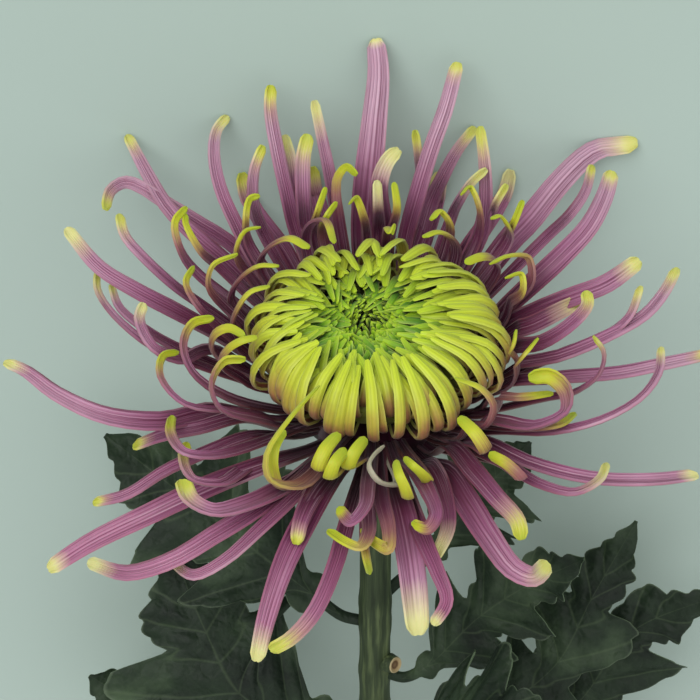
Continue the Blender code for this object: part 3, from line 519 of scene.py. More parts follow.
def bentFloret(strip, samples, width, look, draw, tone):
    # a strip copied and bent along a line, rolled round its own length and closed like a bow at its tip
    rows, columns = strip["rows"], strip["columns"]
    # the rows stand closer together near the tip
    shares = [1.0 - (1.0 - row / rows) ** look["tipRows"] for row in range(rows + 1)]
    places = placedAt(samples, travelledAlong(samples, look["bendWeight"]), shares)
    run = travelledAlong(places, 0.0)
    width *= look["widen"]
    twist = draw.uniform(-1.0, 1.0) * look["twist"]
    vary = draw.random()
    moreCurl = draw.uniform(*form["curlDraw"])
    tipLength = draw.uniform(*look["tipLength"])
    lobes = draw.uniform(0.0, 1.0)
    taper = draw.uniform(*look["taper"])
    sections = []
    frames = framesAlong(places, Vector((-places[0].z, 0.0, places[0].x)).normalized())
    for (place, across, upper, ahead), passed in zip(frames, run):
        share = passed / run[-1]
        left = run[-1] - passed
        # it rolls a little, so that its upper side faces the light
        lean = -math.atan2(toEye.dot(across), toEye.dot(upper))
        facing = max(toEye.dot(upper), 0.0)
        turn = twist + min(max(lean, -look["roll"]), look["roll"]) * facing
        turn *= eased(share / form["rolledBy"])
        across, upper = (across * math.cos(turn) + upper * math.sin(turn),
                         upper * math.cos(turn) - across * math.sin(turn))
        closing = max(0.0, 1.0 - left / (look["bow"] * width))
        curl = math.radians(min(read(look["curl"], share) * moreCurl, form["mostCurl"]))
        half = 0.5 * width * read(look["width"], share) * (1.0 - form["tipNarrows"] * closing**3)
        half *= 1.0 - taper * eased((share - form["taperFrom"]) / (1.0 - form["taperFrom"]))
        radius = half / math.sin(0.5 * curl)
        sag = radius * (1.0 - math.cos(0.5 * curl))
        ridge = look["ridge"] * eased(share / form["ridgesBy"]) * (1.0 - closing)
        middle = place + upper * (radius - 0.5 * sag)
        sections.append((middle, across, upper, ahead, curl, radius, read(look["thickness"], share), ridge,
                         closing, left, sag))
    points = []
    fromTip = []
    along = []
    lowest = [0.0] * len(sections)
    for vertex in strip.data.vertices:
        x, y, z = vertex.co
        row = round(y * rows)
        middle, across, upper, ahead, curl, radius, thick, ridge, closing, left, sag = sections[row]
        raised = ridge if round((x + 0.5) * columns) % 2 == 0 else -ridge
        if z > -0.5:
            away = radius - 0.5 * thick - raised
        else:
            away = radius + 0.5 * thick - form["underRidge"] * raised
        point = middle + across * away * math.sin(curl * x) - upper * away * math.cos(curl * x)
        # the bow: the middle rises to the margins and the corners draw back
        point += upper * form["tipRises"] * sag * closing**2 * math.cos(math.pi * x)
        back = width * (form["corners"] * abs(2.0 * x) ** 3
                        + form["notch"] * lobes * math.exp(-((x / form["notchWidth"]) ** 2)))
        point -= ahead * back * closing
        lowest[row] = max(lowest[row], -overTable(point))
        points.append((row, point))
        fromTip.append((left + back) / tipLength)
        along.append(run[row] / (look["alongLength"] or run[-1]))
    moved = [point + Vector((0.0, 0.0, lowest[row] / front.z)) for row, point in points]
    return copyOf(strip, "floret", moved, {
        "fromTip": fromTip, "along": along, "tone": tone, "vary": look.get("vary") or vary,
        "hook": look["hook"], "dry": look.get("dry", 0.0),
        "under": [float(vertex.co.z < -0.5) for vertex in strip.data.vertices],
    })


def rayLine(pixels, tipHeight, rimHeight, rootHeight):
    # the line of a floret that the photograph shows, from its root to its tip
    look = purpleFlorets
    half = look["halfThickness"]
    if tipHeight is None:
        tipHeight = seenOnTable(pixels[-1], half - flower["tableBite"]).y
    run = [0.0]
    for before, after in zip(pixels, pixels[1:]):
        run.append(run[-1] + math.dist(before, after))
    shown = []
    for pixel, passed in zip(pixels, run):
        share = passed / run[-1]
        height = rimHeight + (tipHeight - rimHeight) * share
        shown.append(seenAt(pixel, height + look["arch"] * math.sin(math.pi * share)))
    outward = Vector((shown[0].x, 0.0, shown[0].z)).normalized()
    root = outward * look["rootRadius"] + upAxis(rootHeight)
    height = look["rootPull"] * rootHeight + (1.0 - look["rootPull"]) * rimHeight - look["dip"]
    underRim = outward * look["underRim"] + upAxis(height)
    samples = [movedFromMiddle(point, max(1.0, 1.0 / domeLevel(point, half + look["spacing"])))
               for point in curveThrough([root, underRim] + shown)]
    return keptAboveTable(samples, half - flower["tableBite"])


def makeRays():
    draw = random.Random(purpleFlorets["seed"])
    florets = []
    middle = view["bloomPixel"]
    for kind, parts, extras in (
        (longFlorets, (raysBehind, raysLeft, raysRight, raysInFront), otherRays),
        (hookedFlorets, (hooksBehind, hooksLeft, hooksRight, hooksInFront, hooksBelow), otherHooks),
    ):
        look = {**purpleFlorets, **kind}
        tiers = kind["tiers"]
        rows = [((rim, tip), *row) for rim, tip, part in zip(kind["rims"], kind["tips"], parts)
                for row in part]
        rows.sort(key=lambda row: math.atan2(row[3][1] - middle[1], row[3][0] - middle[0]))
        for order, ((rim, tip, *own), tipHeight, width, *pixels) in enumerate(rows + list(extras)):
            tier = order % len(tiers)
            rim += look["tierStep"] * (0.5 * (len(tiers) - 1) - tier)
            samples = rayLine(pixels, tipHeight, rim, tiers[tier])
            first, run = look["toneRows"]
            tone = draw.uniform(*look["toneDraw"]) + (pixels[-1][1] - first) / run
            tone, look["vary"] = own or (min(max(tone, 0.0), 1.0), None)
            look["tipLength"] = tip
            look["dry"] = float(pixels[0] == look["faded"])
            florets.append(bentFloret(rayStrip, samples, width, look, draw, tone))
    solidDraw = random.Random(flower["solidSeed"])
    under = underFlorets
    look = {**purpleFlorets, **longFlorets, "tipLength": longFlorets["tips"][0]}
    for number in range(under["count"]):
        turn = under["fan"] * (number / (under["count"] - 1) - 0.5)
        outward = Vector((math.sin(turn), 0.0, -math.cos(turn)))
        lie = solidDraw.uniform(*under["lie"])
        reach = (bloomRise + lie * axis.z - under["overTable"]) / (front.z * math.cos(turn))
        out, rise, drop = under["elbow"]
        points = [outward * away + upAxis(height) for away, height in (
            (look["rootRadius"], under["root"]), under["rim"], (out * reach, rise * lie - drop),
            (reach, lie), (reach + under["upturn"][0], lie + under["upturn"][1]),
        )]
        samples = keptAboveTable(curveThrough(points), look["halfThickness"] - flower["tableBite"])
        florets.append(bentFloret(rayStrip, samples, under["width"], look, draw, under["tone"]))
    return florets


# Rings of lime florets in the solids: distance from the axis and height at the foot, the bulge, the
# crest and the tip
limeProfiles = (
    ((17.0, -5.6), (26.8, -2.4), (28.2, 1.8), (24.8, 8.4), (16.8, 11.2)),
    ((17.0, -1.2), (23.6, 0.8), (24.6, 4.0), (21.2, 8.4), (13.2, 9.8)),
    ((15.0, 1.0), (19.4, 2.6), (20.4, 4.6), (17.4, 7.6), (10.0, 8.4)),
    ((11.0, 2.6), (15.0, 4.0), (15.6, 5.4), (12.8, 7.0), (6.8, 7.2)),
    ((7.0, 3.0), (10.2, 4.2), (10.4, 5.4), (8.2, 6.4), (3.8, 6.4)),
    ((2.6, 3.0), (4.6, 4.4), (4.8, 5.2), (3.8, 5.8), (1.6, 6.0)),
)
limeFlorets = {
    "seed": 5,
    "count": 330,
    "fineCount": 120,  # how many of the outer ones have the finer strip
    "depths": ((0.0, 0.0), (0.12, 0.35), (0.3, 1.2), (0.55, 2.5), (0.8, 3.7), (1.0, 4.4)),
    "depthDraw": (-0.15, 0.15),
    "turnDraw": (-0.06, 0.06),
    "lift": (-2.2, 1.4),
    "reachOut": (0.95, 1.03),
    "sway": 3.8,
    "widths": ((0.0, 2.55), (1.0, 2.25), (2.0, 2.0), (3.0, 1.6), (4.0, 1.3), (5.0, 1.1)),
    "widthDraw": (0.88, 1.1),
    "inside": -1.0,  # how far the dome's space is shrunk to hold their lines
    "bendWeight": 3.0,
    "curl": ((0.0, 120.0), (0.5, 105.0), (0.85, 110.0), (1.0, 140.0)),
    "width": ((0.0, 0.6), (0.3, 0.85), (0.55, 1.0), (0.8, 0.92), (1.0, 0.6)),
    "widen": 1.0,
    "thickness": ((0.0, 0.6), (0.6, 0.5), (1.0, 0.35)),
    "ridge": 0.06,
    "tipLength": (5.0, 7.0),
    "tipRows": 1.15,
    "taper": (0.0, 0.2),
    "bow": 0.9,
    "twist": math.radians(22.0),
    "hook": 0.0,
    "alongLength": None,
    "roll": 0.0,
    "coreRadius": 21.0,
    "coreRise": 3.4,
    "coreLower": 0.1,
    "coreRoundness": 0.8,
}
# The eye itself: the youngest florets, still short and upright
buds = {
    "eye": (-2.8, 3.6, 0.5),  # the middle of their feet
    "count": 180,
    "reach": 10.0,
    "lean": 0.22,  # how far a tip leans inwards, as a share of its distance from the middle
    "bulge": (0.3, 0.45),  # how far it first leans outwards, as a share of that, and at what height
    "drift": (-0.5, 0.5),
    "tall": (1.9, 3.7),
    "tallerOutside": 1.6,
    "width": 1.1,
    "widerOutside": 0.35,
}
goldenTurn = math.radians(137.508)
limeStrip = makeStrip("limeStrip", 6, 12)
smallLimeStrip = makeStrip("smallLimeStrip", 4, 7)


def makeLimeFlorets():
    look = limeFlorets
    draw = random.Random(look["seed"])
    florets = []
    deepest = len(limeProfiles) - 1
    middle = buds["eye"]
    for number in range(look["count"]):
        strip = limeStrip if number < look["fineCount"] else smallLimeStrip
        depth = read(look["depths"], number / (look["count"] - 1))
        depth = min(max(depth + draw.uniform(*look["depthDraw"]), 0.0), float(deepest))
        low = min(int(depth), deepest - 1)
        part = depth - low
        turn = number * goldenTurn + draw.uniform(*look["turnDraw"])
        away, aside = spokes(turn)
        sway = draw.uniform(-1.0, 1.0) * look["sway"]
        lift = draw.uniform(*look["lift"])
        reachOut = draw.uniform(*look["reachOut"])
        points = []
        for step, (outer, inner) in enumerate(zip(limeProfiles[low], limeProfiles[low + 1])):
            reach, height = (start + (end - start) * part for start, end in zip(outer, inner))
            share = step / (len(limeProfiles[low]) - 1)
            towardsEye = Vector((middle[0], 0.0, middle[2])) * ((1.0 - reach / dome["radius"]) * share)
            place = away * reach * (reachOut if step else 1.0) + upAxis(height + lift * share)
            points.append(place + towardsEye + aside * sway * share**2)
        samples = [movedFromMiddle(point, min(1.0, 1.0 / domeLevel(point, look["inside"])))
                   for point in curveThrough(points)]
        wide = read(look["widths"], depth) * draw.uniform(*look["widthDraw"])
        florets.append(bentFloret(strip, samples, wide, look, draw, depth / deepest))
    for number in range(buds["count"]):
        share = math.sqrt((number + 0.5) / buds["count"])
        turn = number * goldenTurn
        foot = Vector(middle) + spokes(turn)[0] * buds["reach"] * share
        inward = Vector((middle[0] - foot.x, 0.0, middle[2] - foot.z)) * buds["lean"]
        drift = Vector((draw.uniform(*buds["drift"]), 0.0, draw.uniform(*buds["drift"])))
        tall = draw.uniform(*buds["tall"]) + buds["tallerOutside"] * share
        points = [foot, foot - inward * buds["bulge"][0] + upAxis(buds["bulge"][1] * tall),
                  foot + inward + drift + upAxis(tall)]
        wide = buds["width"] + buds["widerOutside"] * share
        florets.append(bentFloret(smallLimeStrip, curveThrough(points), wide, look, draw, 1.0))
    return florets


def turnedCore(name, profile, sides, marks=None):
    # a closed form turned about the bloom's axis, from (distance, height) pairs: a cylinder whose rings
    # of points are cut in edit mode and then moved to the profile
    bpy.ops.object.select_all(action="DESELECT")
    bpy.ops.mesh.primitive_cylinder_add(vertices=sides, radius=1.0, depth=2.0, end_fill_type="TRIFAN")
    core = bpy.context.active_object
    core.name = name
    bpy.ops.object.mode_set(mode="EDIT")
    # by edges, so that the cuts run round the form alone
    bpy.ops.mesh.select_mode(type="EDGE")
    bpy.ops.mesh.select_all(action="DESELECT")
    bpy.ops.object.mode_set(mode="OBJECT")
    for edge in core.data.edges:
        ends = [core.data.vertices[index].co for index in edge.vertices]
        edge.select = abs(ends[0].z - ends[1].z) > 1.0
    bpy.ops.object.mode_set(mode="EDIT")
    bpy.ops.mesh.subdivide(number_cuts=len(profile) - 2, quadcorner="INNERVERT")
    bpy.ops.mesh.select_mode(type="VERT")
    bpy.ops.object.mode_set(mode="OBJECT")
    for vertex in core.data.vertices:
        away, height = profile[round((vertex.co.z + 1.0) * 0.5 * (len(profile) - 1))]
        vertex.co = inWorld(Vector((vertex.co.x * away, height, vertex.co.y * away)))
    setMarks(core.data, marks or {})
    return core


def limeCoreProfile(steps=8):
    profile = []
    for step in range(steps + 1):
        turn = math.pi * (step / steps - 0.5)
        # its two ends are small rings, not points
        away = limeFlorets["coreRadius"] * max(math.cos(turn), 0.02) ** limeFlorets["coreRoundness"]
        tall = math.copysign(abs(math.sin(turn)) ** limeFlorets["coreRoundness"], turn)
        rise = limeFlorets["coreRise"] if turn > 0.0 else dome["depth"]
        profile.append((away, dome["middle"] + tall * rise - limeFlorets["coreLower"]))
    return profile


bowlProfile = ((6.0, -19.0), (15.0, -18.6), (18.0, -15.4), (18.0, -10.7), (14.0, -9.8), (3.0, -9.8))


# Living petal: thin soft tissue, so a satin gloss and a little light passing through. The purple ones
# are dark at the root, partly their own colour and partly painted shade under the dome, pink with darker
# lengthwise veins and painted shade in the grooves, and lime at the tip, which fades through cream on a
# long floret and through brown on a hooked one.
def purplePetal():
    material, tree = newMaterial("purplePetal")
    across, spread = acrossStrip(tree)
    marks = {name: addNode(tree, "Attribute", {"attribute_name": name}, "Fac")
             for name in ("along", "fromTip", "tone", "under", "hook", "dry", "vary")}
    # fine streaks that run the petal's length: 15 on a width of about 4 mm, so 0.3 mm wide
    lengthwise = addNode(tree, "CombineXYZ", {
        number: addNode(tree, "Math", {"operation": "MULTIPLY", 0: value, 1: streaks})
        for number, (value, streaks) in enumerate((
            (across, 15.0), (marks["along"], 1.6), (marks["tone"], 90.0)))})
    streak = addNode(tree, "TexNoise", {
        "Vector": lengthwise, "Scale": 1.0, "Detail": 3.0, "Roughness": 0.6})
    # along each floret from root to tip: the dark root stops are partly its own colour and partly painted
    # shade under the dome
    pale, deep = (
        addNode(tree, "ValToRGB", {
            "Fac": marks["along"], "stops": zip((0.24, 0.36, 0.5, 0.68, 0.95), colours)})
        for colours in (("#2E0D1B", "#4C1B33", "#793A5C", "#AC7093", "#CCA3B9"),
                        ("#260A17", "#3F1428", "#652748", "#8F4971", "#B27192")))
    body = addNode(tree, "Mix", {"data_type": "RGBA", 0: marks["tone"], 6: pale, 7: deep})
    dark = addNode(tree, "MapRange", {"Value": streak, "From Min": 0.52, "From Max": 0.7, "To Max": 0.85})
    light = addNode(tree, "MapRange", {"Value": streak, "From Min": 0.47, "From Max": 0.28, "To Max": 0.6})
    # five raised veins, with painted shade in the grooves between them, most of all beside the middle one
    wave = addNode(tree, "Math", {"operation": "MULTIPLY", 0: across, 1: math.tau * 6.0})
    wave = addNode(tree, "Math", {"operation": "COSINE", 0: wave})
    middle = addNode(tree, "MapRange", {
        "Value": spread, "From Min": 0.5, "From Max": 0.15, "To Min": 0.2, "To Max": 0.55})
    paintedGrooveShade = addNode(tree, "MapRange", {"Value": wave, "From Min": 0.2, "From Max": -1.0, "To Max": middle})
    dusk = addNode(tree, "Math", {"operation": "MULTIPLY", 0: marks["under"], 1: 0.4})
    for share, colour in ((dark, "#5E1E3E"), (light, "#D2ADBD"), (paintedGrooveShade, "#64213F"), (dusk, "#8A5550")):
        body = addNode(tree, "Mix", {"data_type": "RGBA", 0: share, 6: body, 7: colour})
    # the tip
    ragged = addNode(tree, "MapRange", {"Value": streak, "To Min": -0.35, "To Max": 0.35})
    near = addNode(tree, "Math", {"operation": "ADD", 0: marks["fromTip"], 1: ragged})
    cream = addNode(tree, "ValToRGB", {"Fac": near, "stops": (
        (0.0, "#B4BC28"), (0.28, "#CFCB46"), (0.55, "#DDD58C"), (1.0, "#DDBDAF"))})
    brown = addNode(tree, "ValToRGB", {"Fac": near, "stops": (
        (0.0, "#AEBE22"), (0.5, "#C8C832"), (0.75, "#BFA840"), (1.0, "#9C6847"))})
    brownish = addNode(tree, "MapRange", {
        "Value": marks["vary"], "From Min": 0.6, "From Max": 0.3, "To Max": 0.4})
    brownish = addNode(tree, "Math", {"operation": "MAXIMUM", 0: brownish, 1: marks["hook"]})
    wan = addNode(tree, "Math", {"operation": "MULTIPLY", 0: marks["vary"], 1: 0.8})
    tip = addNode(tree, "Mix", {"data_type": "RGBA", 0: wan, 6: cream, 7: "#DCD79E"})
    tip = addNode(tree, "Mix", {"data_type": "RGBA", 0: brownish, 6: tip, 7: brown})
    reach = addNode(tree, "MapRange", {"Value": near, "From Min": 1.5, "From Max": 0.45})
    for share, colour in ((reach, tip), (marks["dry"], "#B3AD96")):
        body = addNode(tree, "Mix", {"data_type": "RGBA", 0: share, 6: body, 7: colour})
    mottle = addNode(tree, "TexNoise", {
        "Vector": addNode(tree, "TexCoord", output="Object"), "Scale": perMetre(3.846), "Detail": 3.0})
    grain = addNode(tree, "MapRange", {"Value": mottle, "To Min": 0.88, "To Max": 1.1})
    fillNode(tree.nodes["Principled BSDF"], {
        "Base Color": addNode(tree, "HueSaturation", {"Color": body, "Value": grain}),
        "Roughness": addNode(tree, "MapRange", {"Value": streak, "To Min": 0.36, "To Max": 0.55}),
        "Normal": addNode(tree, "Bump", {"Height": streak, "Strength": 0.5, "Distance": 0.0002}),
        "Specular IOR Level": 0.4, "Sheen Weight": 0.15, "Sheen Roughness": 0.4,
        "Subsurface Weight": 0.1, "Subsurface Radius": (0.004, 0.0012, 0.0015), "Subsurface Scale": 0.3,
    })
    return material


# The same tissue where it holds chlorophyll: pink-brown at the root, darkened there with painted shade
# deep among the florets, yellow along it, lime at the tip, and greener towards the middle of the bloom
def limePetal():
    material, tree = newMaterial("limePetal")
    across, spread = acrossStrip(tree)
    marks = {name: addNode(tree, "Attribute", {"attribute_name": name}, "Fac")
             for name in ("along", "tone", "vary")}
    mottle = addNode(tree, "TexNoise", {
        "Vector": addNode(tree, "TexCoord", output="Object"), "Scale": perMetre(7.143), "Detail": 3.0})
    ragged = addNode(tree, "MapRange", {"Value": mottle, "To Min": -0.16, "To Max": 0.16})
    along = addNode(tree, "Math", {"operation": "ADD", 0: marks["along"], 1: ragged})
    # from root to tip: the darkest stops at the root are painted shade deep among the florets, over their
    # own pink-brown and green
    outer = addNode(tree, "ValToRGB", {"Fac": along, "stops": (
        (0.15, "#2E1414"), (0.29, "#84483A"), (0.41, "#B6805A"), (0.52, "#C4B24E"), (0.64, "#C9D23E"),
        (1.0, "#CBDF34"))})
    inner = addNode(tree, "ValToRGB", {"Fac": along, "stops": (
        (0.14, "#081604"), (0.44, "#1F4808"), (0.66, "#508616"), (0.86, "#8CBB1E"), (1.0, "#B4D628"))})
    depth = addNode(tree, "MapRange", {"Value": marks["tone"], "From Min": 0.12, "From Max": 0.62})
    body = addNode(tree, "Mix", {"data_type": "RGBA", 0: depth, 6: outer, 7: inner})
    # raised veins with painted shade in the grooves between them, some florets yellower than others, and
    # margins that are thinner and paler
    wave = addNode(tree, "Math", {"operation": "MULTIPLY", 0: across, 1: math.tau * 3.0})
    wave = addNode(tree, "Math", {"operation": "COSINE", 0: wave})
    paintedGrooveShade = addNode(tree, "MapRange", {"Value": wave, "From Min": 0.2, "From Max": -1.0, "To Max": 0.22})
    yellow = addNode(tree, "Math", {"operation": "MULTIPLY", 0: marks["vary"], 1: 0.25})
    margin = addNode(tree, "MapRange", {"Value": spread, "From Min": 0.6, "From Max": 1.0, "To Max": 0.45})
    for share, blending, colour in ((paintedGrooveShade, "MIX", "#7A7D1C"), (yellow, "MULTIPLY", "#F2DC8C"),
                                    (margin, "MIX", "#D0D86A")):
        body = addNode(tree, "Mix", {
            "data_type": "RGBA", "blend_type": blending, 0: share, 6: body, 7: colour})
    grain = addNode(tree, "MapRange", {"Value": mottle, "To Min": 0.85, "To Max": 1.12})
    fillNode(tree.nodes["Principled BSDF"], {
        "Base Color": addNode(tree, "HueSaturation", {"Color": body, "Value": grain}),
        "Normal": addNode(tree, "Bump", {"Height": wave, "Strength": 0.2, "Distance": 0.0002}),
        "Roughness": 0.42, "Specular IOR Level": 0.35, "Sheen Weight": 0.1, "Sheen Roughness": 0.5,
        "Subsurface Weight": 0.15, "Subsurface Radius": (0.003, 0.003, 0.0008), "Subsurface Scale": 0.3,
    })
    return material


# the bowl has no along mark, so it takes the darkest root colour, which is partly painted shade
rays = makeRays() + [turnedCore("bowl", bowlProfile, 48, {"fromTip": 6.0, "tone": 1.0})]
joinAs("purpleFlorets", rays, purplePetal(), "ray_florets")
# the heart has no along mark, so it takes the darkest root colour, which is painted shade
lime = makeLimeFlorets() + [turnedCore("heart", limeCoreProfile(), 32, {"tone": 1.0})]
joinAs("limeFlorets", lime, limePetal(), "centre_florets")
print("The bloom is made")

# The cup under the bloom and its overlapping bracts
involucre = {
    "seed": 3,
    "cup": ((3.7, -26.8), (6.2, -25.6), (9.1, -22.0), (10.5, -19.0)),
    # how many, distance and height at the foot, middle and tip, and the greatest width
    "rings": ((12, (6.0, -24.4), (10.6, -22.2), (13.2, -20.2), 4.4),
              (11, (5.2, -25.8), (9.0, -24.2), (11.2, -21.9), 4.0),
              (9, (4.4, -26.6), (7.2, -25.9), (8.9, -24.4), 3.4)),
    "turnDraw": (-0.12, 0.12),
    "width": ((0.0, 0.7), (0.45, 1.0), (0.75, 0.8), (0.92, 0.45), (1.0, 0.12)),
    "thickness": 0.5,
    "hollow": 0.9,
    "standOff": 0.3,
    "dryFrom": 0.8,  # the share of the length from which the tip is dry
}
bractStrip = makeStrip("bractStrip", 6, 10)


def makeBracts():
    draw = random.Random(involucre["seed"])
    bracts = []
    rows = bractStrip["rows"]
    shares = [row / rows for row in range(rows + 1)]
    for ring, (count, *profile, width) in enumerate(involucre["rings"]):
        for number in range(count):
            turn = math.tau * (number + 0.5 * ring + draw.uniform(*involucre["turnDraw"])) / count
            away, aside = spokes(turn)
            samples = curveThrough([away * reach + upAxis(height) for reach, height in profile])
            places = placedAt(samples, travelledAlong(samples, 0.0), shares)
            frames = framesAlong(places, aside)
            moved = []
            edge = []
            for vertex in bractStrip.data.vertices:
                x, y, z = vertex.co
                place, across, upper, _ = frames[round(y * rows)]
                wide = width * read(involucre["width"], y)
                rise = involucre["hollow"] * (2.0 * x) ** 2 * wide / width + involucre["thickness"] * z
                moved.append(place + across * wide * x + upper * (rise + involucre["standOff"]))
                dry = eased((y - involucre["dryFrom"]) / (1.0 - involucre["dryFrom"]))
                edge.append(max(abs(2.0 * x), dry))
            bracts.append(copyOf(bractStrip, "bract", moved, {"edge": edge}))
    return bracts


# Bract: a small leathery leaf with a dry papery edge, which stays dull
def bractSkin():
    material, tree = newMaterial("bractSkin")
    edge = addNode(tree, "Attribute", {"attribute_name": "edge"}, "Fac")
    grain = addNode(tree, "TexNoise", {
        "Vector": addNode(tree, "TexCoord", output="Object"), "Scale": perMetre(1.111), "Detail": 2.0})
    fillNode(tree.nodes["Principled BSDF"], {
        "Base Color": addNode(tree, "ValToRGB", {"Fac": edge, "stops": (
            (0.0, "#4C5C36"), (0.6, "#55633C"), (0.85, "#7D7B55"), (1.0, "#9C8C68"))}),
        "Normal": addNode(tree, "Bump", {"Height": grain, "Strength": 0.3, "Distance": 0.0002}),
        "Roughness": 0.6, "Specular IOR Level": 0.3,
    })
    return material


cup = turnedCore("cup", involucre["cup"], 48)
joinAs("bracts", makeBracts() + [cup], bractSkin(), "involucre")
print("The bracts are made")

# One edge of a leaf's blade: how far along the middle rib, and how wide as a share of the widest
leafEdge = (
    (0.00, 0.04), (0.05, 0.24), (0.11, 0.18), (0.18, 0.56), (0.25, 0.88), (0.32, 0.94), (0.37, 0.40),
    (0.43, 0.50), (0.50, 0.90), (0.57, 0.96), (0.61, 0.76), (0.65, 0.34), (0.72, 0.42), (0.79, 0.46),
    (0.86, 0.30), (0.93, 0.18), (1.00, 0.03),
)
# Each leaf: greatest half width, how far along the blade begins, then the pixels and heights that its
# middle rib passes from the stem outwards
leafRibs = (
    (21, 0.13, (358, 622, -87), (320, 600, -81), (262, 556, -71), (190, 500, -61), (105, 435, -50)),
    (29, 0.08, (372, 722, -122), (306, 722, -116), (240, 694, -103), (205, 630, -90), (172, 548, -76)),
    (19, 0.30, (366, 775, -141), (290, 775, -135), (200, 742, -123), (90, 676, -104)),
    (14, 0.12, (384, 668, -103), (430, 664, -96), (478, 618, -81), (530, 584, -69), (583, 560, -58)),
    (14, 0.18, (384, 715, -119), (470, 722, -113), (553, 668, -100), (592, 598, -84), (636, 522, -65)),
    (17, 0.26, (384, 742, -131), (480, 768, -131), (575, 706, -117), (632, 632, -96), (716, 596, -84)),
    (16, 0.30, (384, 722, -117), (424, 722, -100), (490, 710, -80), (560, 744, -80)),
    (14, 0.26, (388, 600, -80), (425, 560, -76), (470, 505, -67), (530, 442, -54)),
)
leaf = {
    "solidDraws": 5 + 99 * 3 + 12,  # what the bloom's solids draw before the leaves do
    "stalkSteps": 5,
    "stalkRows": 14,
    "stalkHalfWidth": 1.3,
    "stalkThickness": 1.8,
    "stalkEdge": 0.12,
    "joint": 0.98,  # where the stalk meets the stem, as a share of its radius
    "collar": (4.0, 0.8),  # how far out and up the stalk runs before it bends
    "opensBy": 0.12,
    "lobeDraw": (0.93, 1.07),
    "phaseDraw": (0.0, 6.0),
    "lean": 0.55,
    "fold": 0.22,
    "bladeThickness": 0.55,
    "thinnerEdge": 0.4,
    # how high, and how closely they follow each other
    "wave": (1.6, 7.0),
    "ripple": (0.9, 33.0),
    "teeth": 15.0,
    "toothLength": 1.7,
    "toothFoot": 0.55,
    "toothShift": 0.3,
    "toothVaries": (0.3, 23.0),
    "toothReach": 5.0,  # a blade narrower than this has shorter teeth
    "teethEnd": 0.93,
    # where the side veins leave the middle rib, and how far they run ahead on their way to the edge
    "veins": (0.05, 0.18, 0.30, 0.43, 0.55, 0.68, 0.79, 0.89),
    "veinSlope": 0.11,
    # the blade puffs up between hollows along its veins and its middle rib
    "puff": 0.9,
    "puffLift": 0.4,
    "veinHollow": 2.2,
    "ribHollow": 2.5,
    "keel": (0.9, 0.9),  # how high and how wide
    "straight": 0.3,  # how straight the edge runs between its stations
}
leafStrip = makeStrip("leafStrip", 32, 112)


def edgeShare(stations, blade):
    # the width's share between the stations, rounded in the notches and at the lobes
    for (start, low), (end, high) in zip(stations, stations[1:]):
        if blade <= end:
            part = (blade - start) / (end - start)
            straight = leaf["straight"]
            return low + (high - low) * (straight * part + (1.0 - straight) * eased(part))
    return stations[-1][1]


